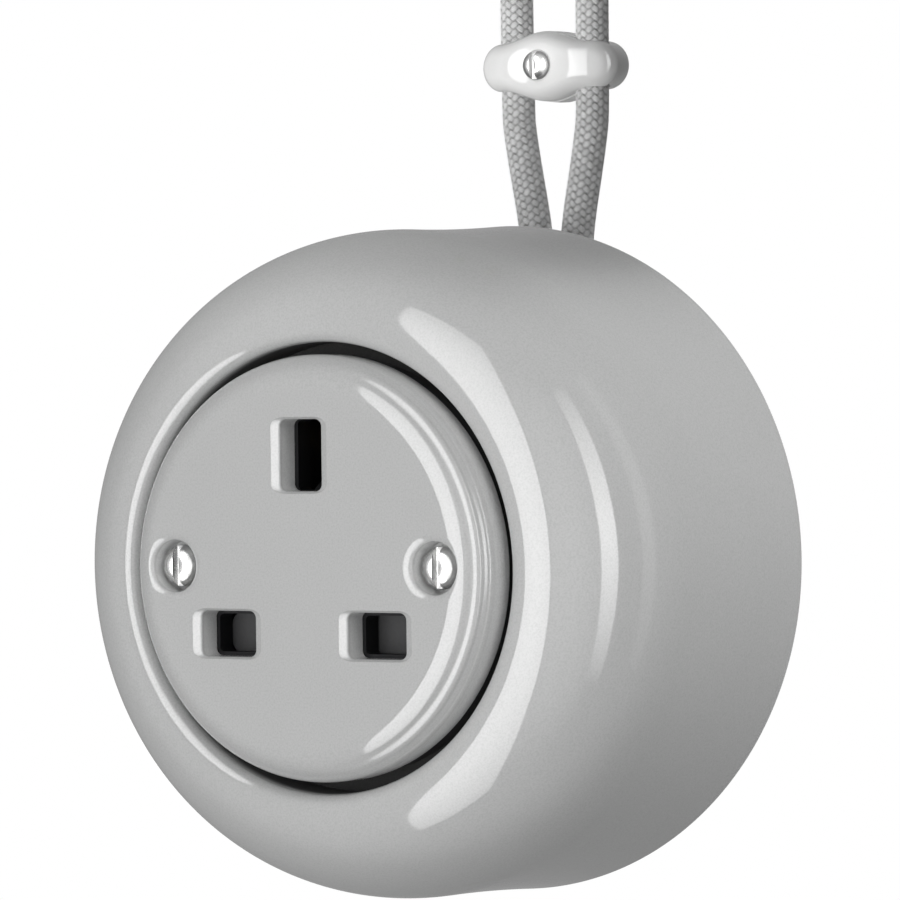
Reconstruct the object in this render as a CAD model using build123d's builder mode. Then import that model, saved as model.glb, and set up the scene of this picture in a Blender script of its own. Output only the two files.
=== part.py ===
"""Porcelain surface socket with a 22.225 mm three-pin face, two cables and their clamp.

Millimetres. The wall is the plane Y = 0, the face looks along -Y, Z is up and the
origin is where the socket's axis meets the wall. "w" is the distance from the wall.
"""

import math
import os

from build123d import *

# Pin pattern of the standard and the slots that the photograph shows
PIN = 22.225
PIN_LINE_Z = -8.1
EARTH_Z = PIN_LINE_Z + PIN
EARTH_SLOT = (5.9, 8.9)
SIDE_SLOT = (8.25, 5.7)
SLOT_CORNER = 0.9
SLOT_EDGE = 0.8

# Housing
CREST_W = 56.0
FACE_RISE = 4.0
FACE_W = CREST_W + FACE_RISE
CREST_R = 30.2
REAR_R = 43.2
REAR_W = 12.0
REAR_EDGE = 4.0
REAR_SWEEP = 23.4
FOOT_R = 31.5
WAIST_R = 42.4
WAIST_W = 36.6
SHOULDER = (10.9, 6.7)
BORE_R = 27.85
LIP = CREST_R - BORE_R
LEDGE_DEPTH = 12.0
LEDGE_W = FACE_W - LEDGE_DEPTH
LEDGE_T = 4.0
LEDGE_R = 25.0
CAVITY_R = 37.0
CAVITY_TOP = 8.0
CAVITY_LOW = 9.0
FLOOR_W = 5.5
WALL_HOLE_X = 18.0
WALL_HOLE_D = 4.5

# Face disc
DISC_R = 26.6
DISC_T = 3.6
DISC_EDGE = 4.4
DISC_RIM = 7.1
DISC_NECK = 0.7
SKIRT_R = 24.2
SCREW_X = 19.6
SCREW_Z = 0.3
RECESS_R = 3.0
RECESS_EDGE = 1.0
RECESS_DEPTH = 4.8
RECESS_W = FACE_W - RECESS_DEPTH
DISC_BOSS_R = 5.0
DISC_BOSS_T = 3.5
SHANK_R = 1.7
SHANK_LONG = 10.2
HEAD_R = 2.6
HEAD_T = 2.9
HEAD_DOME = 0.74
HEAD_SLOT = (0.8, 1.5)

# Contact insert
COVER_T = 2.6
COVER_R = 23.6
BASE_R = 22.8
BASE_T = 24.1
EAR_T = 10.6
BUSH_R = 2.8
BUSH_LONG = 8.2
EARTH_WELL = 18.6
SIDE_WELL = 16.1
WEDGE_ROOM = 4.9
SHUTTER_GAP = 0.2
SHUTTER_T = 2.6
SHUTTER_TRAVEL = 4.9
PILLAR_AT = (14.5, 11.0)
PILLAR_D = 7.0
PILLAR_SCREW_SHARE = 0.33
INSERT_SCREW_SHARE = 0.45
EAR_R = 4.0

# Cables and clamp
CABLE_D = 4.4
CABLE_W = 4.2
CABLE_X = 2.7
CABLE_ROUTE = ((2.4, 26.0), (2.4, 38.8), (5.45, 54.6), (5.87, 59.2), (5.87, 90.0))
CABLE_BEND = 26.0
NOTCH = (11.6, 6.9)
NOTCH_Z = 12.0
CLAMP_X = 2.4
CLAMP_Z = 64.2
CLAMP_LONG = 20.6
CLAMP_REAR_LONG = 19.4
CLAMP_END = 6.3
CLAMP_MID = 9.3
CLAMP_SPLIT = 0.4
CLAMP_FRONT_W = 8.1
CLAMP_EDGE = 2.0
CLAMP_REAR_EDGE = 1.3
CLAMP_BOSS = (5.3, 4.4)
CLAMP_BOSS_W = 9.2
CLAMP_DISH = (4.4, 3.6)
CLAMP_SEAT = 2.3
CLAMP_SEAT_W = 7.9
CLAMP_HEAD_R = 1.95
CLAMP_HEAD_T = 1.6
CLAMP_SCREW_R = 1.2
CLAMP_SCREW_LOW = 7.5
CLAMP_POINT = 3.0
CORE_D = 1.7
WIRE_D = 0.9

BACK_W = FACE_W - DISC_T
COVER_W = BACK_W - COVER_T
DISC_BOSS_W = BACK_W - DISC_BOSS_T
SHANK_W = RECESS_W - SHANK_LONG
BASE_W = COVER_W - BASE_T
EAR_W = COVER_W - EAR_T
BUSH_W = DISC_BOSS_W - BUSH_LONG
SHUTTER_W = COVER_W - SHUTTER_GAP - SHUTTER_T
TRACK_W = SHUTTER_W - SHUTTER_GAP
EARTH_WELL_W = TRACK_W - EARTH_WELL
SIDE_WELL_W = TRACK_W - SIDE_WELL
WEDGE_W = TRACK_W - WEDGE_ROOM
HALF = PIN / 2

os.makedirs("parts", exist_ok=True)


def at(w):
    """The plane parallel to the wall at a distance w from it, with X to the right and Z up."""
    return Plane(origin=(0, -w, 0), x_dir=(1, 0, 0), z_dir=(0, -1, 0))


def on_arc(cx, cw, r, degrees):
    """A point of a section arc; 0 degrees points away from the axis and 90 to the wall."""
    a = math.radians(degrees)
    return (cx + r * math.cos(a), cw - r * math.sin(a))


# Section plane of the turned pieces: local x is the radius, local y is w
SECTION = Plane(origin=(0, 0, 0), x_dir=(1, 0, 0), z_dir=(0, 0, -1))


# Housing: one deep porcelain cup with a turned-in lip, an inner ledge and a floor
with BuildPart() as housing:
    c1 = (REAR_R - REAR_EDGE, REAR_W)
    meet = 36.0
    p36 = on_arc(*c1, REAR_EDGE, meet)
    c2 = (p36[0] - REAR_SWEEP * math.cos(math.radians(meet)), p36[1] + REAR_SWEEP * math.sin(math.radians(meet)))
    stop = math.degrees(math.acos((FOOT_R - c2[0]) / REAR_SWEEP))
    foot = on_arc(*c2, REAR_SWEEP, stop)
    with BuildSketch(SECTION):
        with BuildLine():
            Polyline((0, FLOOR_W), (0, 0), (FOOT_R, 0), foot)
            ThreePointArc(foot, on_arc(*c2, REAR_SWEEP, (stop + meet) / 2), p36)
            ThreePointArc(p36, on_arc(*c1, REAR_EDGE, meet / 2), (REAR_R, REAR_W))
            Bezier((REAR_R, REAR_W), (WAIST_R, (REAR_W + WAIST_W) / 2), (WAIST_R, WAIST_W))
            Bezier(
                (WAIST_R, WAIST_W),
                (WAIST_R, WAIST_W + SHOULDER[0]),
                (CREST_R + SHOULDER[1], CREST_W),
                (CREST_R, CREST_W),
            )
            ThreePointArc(
                (CREST_R, CREST_W),
                (CREST_R - LIP * math.sin(math.pi / 4), CREST_W - LIP * (1 - math.cos(math.pi / 4))),
                (BORE_R, CREST_W - LIP),
            )
            under = LEDGE_W - LEDGE_T
            Polyline((BORE_R, CREST_W - LIP), (BORE_R, LEDGE_W), (LEDGE_R, LEDGE_W), (LEDGE_R, under), (CAVITY_R - CAVITY_TOP, under))
            ThreePointArc(
                (CAVITY_R - CAVITY_TOP, under),
                on_arc(CAVITY_R - CAVITY_TOP, under - CAVITY_TOP, CAVITY_TOP, -45),
                (CAVITY_R, under - CAVITY_TOP),
            )
            Line((CAVITY_R, under - CAVITY_TOP), (CAVITY_R, FLOOR_W + CAVITY_LOW))
            ThreePointArc(
                (CAVITY_R, FLOOR_W + CAVITY_LOW),
                on_arc(CAVITY_R - CAVITY_LOW, FLOOR_W + CAVITY_LOW, CAVITY_LOW, 45),
                (CAVITY_R - CAVITY_LOW, FLOOR_W),
            )
            Line((CAVITY_R - CAVITY_LOW, FLOOR_W), (0, FLOOR_W))
        make_face()
    revolve(axis=Axis.Y)
    with BuildSketch(at(-1)):
        with Locations((-WALL_HOLE_X, 0), (WALL_HOLE_X, 0)):
            Circle(WALL_HOLE_D / 2)
        with Locations((-PILLAR_AT[0], PILLAR_AT[1]), PILLAR_AT):
            Circle(1.9)
    extrude(amount=FLOOR_W + 2, mode=Mode.SUBTRACT)
    with BuildSketch(at(0)):
        with Locations((-PILLAR_AT[0], PILLAR_AT[1]), PILLAR_AT):
            Circle(3.3)
    extrude(amount=3.4, mode=Mode.SUBTRACT)
    with BuildSketch(Plane.XY.offset(NOTCH_Z)):
        with Locations((CABLE_X, -(NOTCH[1] - 1) / 2)):
            Rectangle(NOTCH[0], NOTCH[1] + 1)
        fillet([v for v in vertices() if v.Y < -1], 2.6)
    extrude(amount=36, mode=Mode.SUBTRACT)
housing.part.label = "housing"
export_step(housing.part, "parts/housing.step")

# Face disc: a shallow cup with three slots and two screw recesses
with BuildPart() as face_disc:
    with BuildSketch(SECTION):
        with BuildLine():
            Polyline((0, BACK_W), (0, FACE_W), (DISC_R - DISC_EDGE, FACE_W))
            ThreePointArc(
                (DISC_R - DISC_EDGE, FACE_W),
                on_arc(DISC_R - DISC_EDGE, FACE_W - DISC_EDGE, DISC_EDGE, -45),
                (DISC_R, FACE_W - DISC_EDGE),
            )
            Polyline((DISC_R, FACE_W - DISC_EDGE), (DISC_R, FACE_W - DISC_RIM), (DISC_R - DISC_NECK, FACE_W - DISC_RIM), (DISC_R - DISC_NECK, LEDGE_W))
            Polyline((DISC_R - DISC_NECK, LEDGE_W), (LEDGE_R + 0.2, LEDGE_W), (SKIRT_R, LEDGE_W + 1), (SKIRT_R, BACK_W), (0, BACK_W))
        make_face()
    revolve(axis=Axis.Y)
    with BuildSketch(at(DISC_BOSS_W)):
        with Locations((-SCREW_X, SCREW_Z), (SCREW_X, SCREW_Z)):
            Circle(DISC_BOSS_R)
    extrude(amount=BACK_W - DISC_BOSS_W + 0.5)
    with BuildSketch(at(BACK_W - 1)):
        with Locations((0, EARTH_Z)):
            RectangleRounded(*EARTH_SLOT, SLOT_CORNER)
        with Locations((-HALF, PIN_LINE_Z), (HALF, PIN_LINE_Z)):
            RectangleRounded(*SIDE_SLOT, SLOT_CORNER)
    extrude(amount=DISC_T + 2, mode=Mode.SUBTRACT)
    with BuildSketch(at(RECESS_W)):
        with Locations((-SCREW_X, SCREW_Z), (SCREW_X, SCREW_Z)):
            Circle(RECESS_R)
    extrude(amount=6, mode=Mode.SUBTRACT)
    with BuildSketch(at(DISC_BOSS_W - 1)):
        with Locations((-SCREW_X, SCREW_Z), (SCREW_X, SCREW_Z)):
            Circle(SHANK_R + 0.25)
    extrude(amount=6, mode=Mode.SUBTRACT)
    def rim(points, reach):
        """The edges round a hole's mouth, flat or on the disc's rounding."""
        found = []
        for e in edges():
            box = e.bounding_box()
            for x, z in points:
                near = max(abs(box.max.X - x), abs(box.min.X - x), abs(box.max.Z - z), abs(box.min.Z - z)) < reach
                if near and box.max.Y < -(RECESS_W + 1.5):
                    found.append(e)
        return found

    fillet(rim([(0, EARTH_Z), (-HALF, PIN_LINE_Z), (HALF, PIN_LINE_Z)], 4.9), SLOT_EDGE)
    fillet(rim([(-SCREW_X, SCREW_Z), (SCREW_X, SCREW_Z)], RECESS_R + 0.2), RECESS_EDGE)
face_disc.part.label = "face_disc"
export_step(face_disc.part, "parts/face_disc.step")


def slotted_head(x, z, w, radius, height, slot, dome=0.62):
    """A round slotted head whose underside is at w."""
    with BuildPart() as head:
        with BuildSketch(at(w)):
            with Locations((x, z)):
                Circle(radius)
        extrude(amount=height)
        fillet(edges().group_by(Axis.Y)[0], height * dome)
        with BuildSketch(at(w + height - slot[1])):
            with Locations((x, z)):
                Rectangle(slot[0], radius * 3)
        extrude(amount=slot[1] + 1, mode=Mode.SUBTRACT)
    return head.part


# Two slotted screws that hold the disc
with BuildPart() as face_screws:
    with BuildSketch(at(SHANK_W)):
        with Locations((-SCREW_X, SCREW_Z), (SCREW_X, SCREW_Z)):
            Circle(SHANK_R)
    extrude(amount=SHANK_LONG)
    add(slotted_head(-SCREW_X, SCREW_Z, RECESS_W, HEAD_R, HEAD_T, HEAD_SLOT, HEAD_DOME))
    add(slotted_head(SCREW_X, SCREW_Z, RECESS_W, HEAD_R, HEAD_T, HEAD_SLOT, HEAD_DOME))
face_screws.part.label = "face_screws"
export_step(face_screws.part, "parts/face_screws.step")

# Cover of the insert: the black plate right behind the disc
with BuildPart() as insert_cover:
    with BuildSketch(at(COVER_W)):
        Circle(COVER_R)
        with Locations((-SCREW_X, SCREW_Z), (SCREW_X, SCREW_Z)):
            Circle(DISC_BOSS_R + 0.3, mode=Mode.SUBTRACT)
        with Locations((0, EARTH_Z)):
            RectangleRounded(4.8, 8.8, 0.6, mode=Mode.SUBTRACT)
        with Locations((-HALF, PIN_LINE_Z), (HALF, PIN_LINE_Z)):
            RectangleRounded(7.2, 4.8, 0.6, mode=Mode.SUBTRACT)
        with Locations((-PILLAR_AT[0], PILLAR_AT[1]), PILLAR_AT):
            Circle(1.9, mode=Mode.SUBTRACT)
    extrude(amount=COVER_T)
    sink = [e for e in edges().filter_by(GeomType.CIRCLE) if abs(e.center().Y + BACK_W) < 1e-4 and abs(e.radius - 1.9) < 1e-3]
    chamfer(sink, 1.6)
insert_cover.part.label = "insert_cover"
export_step(insert_cover.part, "parts/insert_cover.step")

# Base of the insert: a thick moulding with the shutter's track and three contact wells
with BuildPart() as insert_base:
    with BuildSketch(at(BASE_W)):
        Circle(BASE_R)
    extrude(amount=COVER_W - BASE_W)
    with BuildSketch(at(EAR_W)):
        with Locations((-SCREW_X, SCREW_Z), (SCREW_X, SCREW_Z)):
            Circle(EAR_R)
    extrude(amount=EAR_T)
    # Relief under the two disc bosses, so that the bushes stand in the ears
    with BuildSketch(at(DISC_BOSS_W - 0.4)):
        with Locations((-SCREW_X, SCREW_Z), (SCREW_X, SCREW_Z)):
            Circle(DISC_BOSS_R + 0.3)
    extrude(amount=5, mode=Mode.SUBTRACT)
    with BuildSketch(at(BUSH_W)):
        with Locations((-SCREW_X, SCREW_Z), (SCREW_X, SCREW_Z)):
            Circle(BUSH_R)
    extrude(amount=12, mode=Mode.SUBTRACT)
    # Track of the shutter, as long as its travel
    with BuildSketch(at(TRACK_W)):
        with Locations((0, (-5.2 - 16.2) / 2)):
            RectangleRounded(30.4, 11.0, 3.2)
        with Locations((0, (9.7 - 16.2) / 2)):
            Rectangle(8.6, 25.9)
        with Locations((0, -18.5)):
            Rectangle(3.2, 6.0)
    extrude(amount=10, mode=Mode.SUBTRACT)
    # Room for the shutter's wedge and the earth contact
    with BuildSketch(at(WEDGE_W)):
        with Locations((0, 8.0)):
            Rectangle(5.6, 9.0)
    extrude(amount=12, mode=Mode.SUBTRACT)
    with BuildSketch(at(EARTH_WELL_W)):
        with Locations((0, EARTH_Z)):
            Rectangle(6.6, 9.8)
    extrude(amount=30, mode=Mode.SUBTRACT)
    with BuildSketch(at(SIDE_WELL_W)):
        with Locations((-HALF, PIN_LINE_Z), (HALF, PIN_LINE_Z)):
            Rectangle(7.4, 6.6)
    extrude(amount=30, mode=Mode.SUBTRACT)
    # Screw and stud holes
    with BuildSketch(at(BASE_W - 1)):
        with Locations((-PILLAR_AT[0], PILLAR_AT[1]), PILLAR_AT):
            Circle(1.9)
    extrude(amount=40, mode=Mode.SUBTRACT)
    with BuildSketch(at(BASE_W - 1)):
        with Locations((0, EARTH_Z), (-HALF, PIN_LINE_Z), (HALF, PIN_LINE_Z)):
            Circle(1.55)
    extrude(amount=8, mode=Mode.SUBTRACT)
insert_base.part.label = "insert_base"
export_step(insert_base.part, "parts/insert_base.step")

# Threaded bushes for the face screws
with BuildPart() as face_bushes:
    with BuildSketch(at(BUSH_W)):
        with Locations((-SCREW_X, SCREW_Z), (SCREW_X, SCREW_Z)):
            Circle(BUSH_R)
            Circle(SHANK_R + 0.05, mode=Mode.SUBTRACT)
    extrude(amount=BUSH_LONG)
face_bushes.part.label = "face_bushes"
export_step(face_bushes.part, "parts/face_bushes.step")

# Brass pillars between the floor and the insert
with BuildPart() as pillars:
    with BuildSketch(at(FLOOR_W)):
        with Locations((-PILLAR_AT[0], PILLAR_AT[1]), PILLAR_AT):
            RegularPolygon(PILLAR_D / 2, 6)
            Circle(1.72, mode=Mode.SUBTRACT)
    extrude(amount=BASE_W - FLOOR_W)
pillars.part.label = "pillars"
export_step(pillars.part, "parts/pillars.step")

# Screws from behind that hold the pillars
with BuildPart() as pillar_screws:
    with BuildSketch(at(1.3)):
        with Locations((-PILLAR_AT[0], PILLAR_AT[1]), PILLAR_AT):
            Circle(3.0)
            Rectangle(0.8, 7.0, mode=Mode.SUBTRACT)
    extrude(amount=1.0)
    with BuildSketch(at(2.3)):
        with Locations((-PILLAR_AT[0], PILLAR_AT[1]), PILLAR_AT):
            Circle(3.0)
    extrude(amount=1.1)
    with BuildSketch(at(3.4)):
        with Locations((-PILLAR_AT[0], PILLAR_AT[1]), PILLAR_AT):
            Circle(1.7)
    extrude(amount=FLOOR_W - 3.4 + PILLAR_SCREW_SHARE * (BASE_W - FLOOR_W))
pillar_screws.part.label = "pillar_screws"
export_step(pillar_screws.part, "parts/pillar_screws.step")

# Long countersunk screws that hold the cover and the base on the pillars
with BuildPart() as insert_screws:
    screw_low = BASE_W - INSERT_SCREW_SHARE * (BASE_W - FLOOR_W)
    with BuildSketch(at(screw_low)):
        with Locations((-PILLAR_AT[0], PILLAR_AT[1]), PILLAR_AT):
            Circle(1.7)
    extrude(amount=BACK_W - 0.1 - screw_low)
    with BuildSketch(at(BACK_W - 1.5)):
        with Locations((-PILLAR_AT[0], PILLAR_AT[1]), PILLAR_AT):
            Circle(1.7)
    extrude(amount=1.4, taper=-45)
    with BuildSketch(at(BACK_W - 0.8)):
        with Locations((-PILLAR_AT[0], PILLAR_AT[1]), PILLAR_AT):
            Rectangle(0.8, 8.0)
    extrude(amount=2, mode=Mode.SUBTRACT)
insert_screws.part.label = "insert_screws"
export_step(insert_screws.part, "parts/insert_screws.step")

# Shutter: wings over the two pin slots and a wedge in the lower half of the earth slot
with BuildPart() as shutter:
    with BuildSketch(at(SHUTTER_W)):
        with Locations((0, (-5.5 - 10.9) / 2)):
            RectangleRounded(29.8, 5.4, 2.0)
        with Locations((0, (9.4 - 10.9) / 2)):
            Rectangle(8.0, 20.3)
    extrude(amount=SHUTTER_T)
    with BuildSketch(Plane.YZ.offset(-2.3)):
        with BuildLine():
            Polyline(
                (-(SHUTTER_W + SHUTTER_T), 9.4),
                (-SHUTTER_W + 4.4, 14.3),
                (-SHUTTER_W + 4.6, 13.6),
                (-SHUTTER_W + 4.6, 9.0),
                (-SHUTTER_W, 9.0),
                (-SHUTTER_W, 8.4),
                (-(SHUTTER_W + SHUTTER_T), 8.4),
                close=True,
            )
        make_face()
    extrude(amount=4.6)
shutter.part.label = "shutter"
export_step(shutter.part, "parts/shutter.step")

# Return spring under the shutter
SPRING_LOW, SPRING_TOP, WIRE_R = -21.4, -10.9, 0.18
with BuildPart() as shutter_spring:
    turns_high = SPRING_TOP - SPRING_LOW - 2 * WIRE_R - 0.06
    with BuildLine(Plane(origin=(0, -(TRACK_W + 1.5), SPRING_LOW + WIRE_R + 0.03), z_dir=(0, 0, 1))):
        coil = Helix(pitch=turns_high / 7, height=turns_high, radius=1.05)
    with BuildSketch(Plane(origin=coil @ 0, z_dir=coil % 0)):
        Circle(WIRE_R)
    sweep(path=coil, is_frenet=True)
shutter_spring.part.label = "shutter_spring"
export_step(shutter_spring.part, "parts/shutter_spring.step")


def side_contact(x):
    """A spring clip that grips a flat pin from above and below."""
    with BuildPart() as clip:
        with BuildSketch(at(SIDE_WELL_W)):
            with Locations((x, PIN_LINE_Z)):
                Rectangle(6.0, 5.2)
        extrude(amount=0.8)
        with BuildSketch(at(SIDE_WELL_W + 0.8)):
            with Locations((x, PIN_LINE_Z - 2.25), (x, PIN_LINE_Z + 2.25)):
                Rectangle(6.0, 0.7)
        extrude(amount=11.4)
    return clip.part


with BuildPart() as live_contact:
    add(side_contact(HALF))
live_contact.part.label = "live_contact"
export_step(live_contact.part, "parts/live_contact.step")

with BuildPart() as neutral_contact:
    add(side_contact(-HALF))
neutral_contact.part.label = "neutral_contact"
export_step(neutral_contact.part, "parts/neutral_contact.step")

with BuildPart() as earth_contact:
    with BuildSketch(at(EARTH_WELL_W)):
        with Locations((0, EARTH_Z)):
            Rectangle(5.2, 7.6)
    extrude(amount=0.8)
    with BuildSketch(at(EARTH_WELL_W + 0.8)):
        with Locations((-2.25, EARTH_Z), (2.25, EARTH_Z)):
            Rectangle(0.7, 7.6)
    extrude(amount=11.6)
earth_contact.part.label = "earth_contact"
export_step(earth_contact.part, "parts/earth_contact.step")

# Terminals: brass blocks behind the base with a stud up to each contact
BLOCK = 8.0
BLOCK_DEEP = 8.5
BLOCK_W = BASE_W - BLOCK_DEEP
WIRE_HOLE_W = BLOCK_W + BLOCK / 2


def terminal(x, z, stud_w):
    """A terminal block with its wire hole, screw hole and stud."""
    with BuildPart() as block:
        with BuildSketch(at(BLOCK_W)):
            with Locations((x, z)):
                Rectangle(BLOCK, BLOCK)
        extrude(amount=BASE_W - BLOCK_W)
        chamfer(edges().filter_by(Axis.Y), 0.6)
        with BuildSketch(at(BASE_W)):
            with Locations((x, z)):
                Circle(1.5)
        extrude(amount=stud_w - BASE_W)
        with BuildSketch(at(BLOCK_W - 1)):
            with Locations((x, z)):
                Circle(1.55)
        extrude(amount=WIRE_HOLE_W - BLOCK_W + 1, mode=Mode.SUBTRACT)
        with BuildSketch(Plane.XY.offset(z - BLOCK)):
            with Locations((x, -WIRE_HOLE_W)):
                Circle(1.85)
        extrude(amount=2 * BLOCK, mode=Mode.SUBTRACT)
    return block.part


with BuildPart() as live_terminal:
    add(terminal(HALF, PIN_LINE_Z, SIDE_WELL_W))
live_terminal.part.label = "live_terminal"
export_step(live_terminal.part, "parts/live_terminal.step")

with BuildPart() as neutral_terminal:
    add(terminal(-HALF, PIN_LINE_Z, SIDE_WELL_W))
neutral_terminal.part.label = "neutral_terminal"
export_step(neutral_terminal.part, "parts/neutral_terminal.step")

with BuildPart() as earth_terminal:
    add(terminal(0, EARTH_Z, EARTH_WELL_W))
earth_terminal.part.label = "earth_terminal"
export_step(earth_terminal.part, "parts/earth_terminal.step")

with BuildPart() as terminal_screws:
    spots = ((0, EARTH_Z), (-HALF, PIN_LINE_Z), (HALF, PIN_LINE_Z))
    with BuildSketch(at(BLOCK_W - 2.2)):
        with Locations(*spots):
            Circle(2.6)
            Rectangle(0.8, 6.0, mode=Mode.SUBTRACT)
    extrude(amount=1.0)
    with BuildSketch(at(BLOCK_W - 1.2)):
        with Locations(*spots):
            Circle(2.6)
    extrude(amount=1.2)
    with BuildSketch(at(BLOCK_W)):
        with Locations(*spots):
            Circle(1.5)
    extrude(amount=4.3)
terminal_screws.part.label = "terminal_screws"
export_step(terminal_screws.part, "parts/terminal_screws.step")

# Cables: two straight runs joined by wide bends, all in one plane along the wall


def cable(side):
    """One braided cable, swept along its route."""
    with BuildPart() as tube:
        with BuildLine():
            route = FilletPolyline(*[(CABLE_X + side * dx, -CABLE_W, z) for dx, z in CABLE_ROUTE], radius=CABLE_BEND)
        with BuildSketch(Plane(origin=route @ 0, z_dir=route % 0)):
            Circle(CABLE_D / 2)
        sweep(path=route)
    return tube.part


with BuildPart() as left_cable:
    add(cable(-1))
left_cable.part.label = "left_cable"
export_step(left_cable.part, "parts/left_cable.step")

with BuildPart() as right_cable:
    add(cable(1))
right_cable.part.label = "right_cable"
export_step(right_cable.part, "parts/right_cable.step")

# Cores inside the housing, from each cable's end to the three terminals
PACK_R = 1.06
CORE_AT = {"earth": 90.0, "live": -30.0, "neutral": 210.0}
TARGET = {"earth": (0.0, EARTH_Z), "live": (HALF, PIN_LINE_Z), "neutral": (-HALF, PIN_LINE_Z)}
WIRE_W = WIRE_HOLE_W + 0.9


def core_start(side, which, z):
    """Where a core lies in its cable, at height z."""
    a = math.radians(CORE_AT[which])
    x = CABLE_X + side * (CABLE_ROUTE[0][0] if z < 40 else CABLE_ROUTE[-1][0])
    return (x + PACK_R * math.cos(a), -(CABLE_W + PACK_R * math.sin(a)), z)


def core(side, which, middle):
    """An insulated core from the cable's lower end to the top of its terminal."""
    tx, tz = TARGET[which]
    top = tz + BLOCK / 2
    start = core_start(side, which, CABLE_ROUTE[0][1])
    end = (tx + side * 0.92, -WIRE_W, top)
    pts = [start, (start[0], start[1], start[2] - (4.2 if middle else 2.6))]
    pts += [(start[0] + (end[0] - start[0]) * f, -w, z) for f, w, z in middle]
    pts += [(end[0], end[1], top + 4.0), end]
    with BuildPart() as tube:
        with BuildLine():
            route = FilletPolyline(*pts, radius=1.9)
        with BuildSketch(Plane(origin=route @ 0, z_dir=route % 0)):
            Circle(CORE_D / 2)
        sweep(path=route)
    return tube.part


MIDDLE = {
    "earth": (),
    "live": ((0.06, 12.5, 20.0), (0.6, 17.5, 10.0)),
    "neutral": ((0.06, 9.0, 18.5), (0.55, 11.0, 9.0)),
}
with BuildPart() as live_cores:
    add(core(-1, "live", MIDDLE["live"]))
    add(core(1, "live", MIDDLE["live"]))
live_cores.part.label = "live_cores"
export_step(live_cores.part, "parts/live_cores.step")

with BuildPart() as neutral_cores:
    add(core(-1, "neutral", MIDDLE["neutral"]))
    add(core(1, "neutral", MIDDLE["neutral"]))
neutral_cores.part.label = "neutral_cores"
export_step(neutral_cores.part, "parts/neutral_cores.step")

with BuildPart() as earth_cores:
    add(core(-1, "earth", MIDDLE["earth"]))
    add(core(1, "earth", MIDDLE["earth"]))
earth_cores.part.label = "earth_cores"
export_step(earth_cores.part, "parts/earth_cores.step")

with BuildPart() as core_ends:
    for tx, tz in TARGET.values():
        with BuildSketch(Plane.XY.offset(tz - BLOCK / 2 + 1.0)):
            with Locations((tx - 0.92, -WIRE_W), (tx + 0.92, -WIRE_W)):
                Circle(WIRE_D / 2)
        extrude(amount=BLOCK - 1.0)
core_ends.part.label = "core_ends"
export_step(core_ends.part, "parts/core_ends.step")

# Upper cable ends: a sleeve on the braid, three cores and their bare tips
TOP_Z = CABLE_ROUTE[-1][1]
with BuildPart() as end_sleeves:
    with BuildSketch(Plane.XY.offset(TOP_Z - 4)):
        with Locations((CABLE_X - CABLE_ROUTE[-1][0], -CABLE_W), (CABLE_X + CABLE_ROUTE[-1][0], -CABLE_W)):
            Circle(CABLE_D / 2 + 0.45)
            Circle(CABLE_D / 2 + 0.05, mode=Mode.SUBTRACT)
    extrude(amount=4.6)
end_sleeves.part.label = "end_sleeves"
export_step(end_sleeves.part, "parts/end_sleeves.step")


def tails(which):
    """The two insulated tails of one kind above the sleeves."""
    with BuildPart() as pair:
        for side in (-1, 1):
            x, y, z = core_start(side, which, TOP_Z)
            with BuildSketch(Plane.XY.offset(z)):
                with Locations((x, y)):
                    Circle(CORE_D / 2)
            extrude(amount=9.0)
    return pair.part


with BuildPart() as live_tails:
    add(tails("live"))
live_tails.part.label = "live_tails"
export_step(live_tails.part, "parts/live_tails.step")

with BuildPart() as neutral_tails:
    add(tails("neutral"))
neutral_tails.part.label = "neutral_tails"
export_step(neutral_tails.part, "parts/neutral_tails.step")

with BuildPart() as earth_tails:
    add(tails("earth"))
earth_tails.part.label = "earth_tails"
export_step(earth_tails.part, "parts/earth_tails.step")

with BuildPart() as tail_tips:
    for which in TARGET:
        for side in (-1, 1):
            x, y, z = core_start(side, which, TOP_Z)
            with BuildSketch(Plane.XY.offset(z + 9.0)):
                with Locations((x, y)):
                    Circle(WIRE_D / 2)
            extrude(amount=5.0)
tail_tips.part.label = "tail_tips"
export_step(tail_tips.part, "parts/tail_tips.step")

# Clamp: two porcelain halves round the cables and one wood screw through both


def cable_channels():
    """The two round channels that the cables lie in."""
    with BuildPart() as rods:
        with BuildSketch(Plane.XY.offset(CLAMP_Z - 8)):
            dx = CABLE_ROUTE[-1][0]
            with Locations((CABLE_X - dx, -CABLE_W), (CABLE_X + dx, -CABLE_W)):
                Circle(CABLE_D / 2 + 0.08)
        extrude(amount=16)
    return rods.part


def clamp_outline(long):
    """Sketch of one half: round ends and a swelling middle with soft corners between."""
    with BuildSketch() as outline:
        SlotOverall(long, CLAMP_END)
        Ellipse(6.2, CLAMP_MID / 2)
        fillet([v for v in outline.vertices() if abs(v.X) < 6], 5.0)
    return outline.sketch


with BuildPart() as clamp_rear:
    with BuildSketch(at(0)):
        with Locations((CLAMP_X, CLAMP_Z)):
            add(clamp_outline(CLAMP_REAR_LONG))
    extrude(amount=CABLE_W - CLAMP_SPLIT / 2)
    fillet(edges().group_by(Axis.Y)[-1], CLAMP_REAR_EDGE)
    with BuildSketch(at(-1)):
        with Locations((CLAMP_X, CLAMP_Z)):
            Circle(CLAMP_SCREW_R + 0.15)
    extrude(amount=12, mode=Mode.SUBTRACT)
    add(cable_channels(), mode=Mode.SUBTRACT)
clamp_rear.part.label = "clamp_rear"
export_step(clamp_rear.part, "parts/clamp_rear.step")

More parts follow.
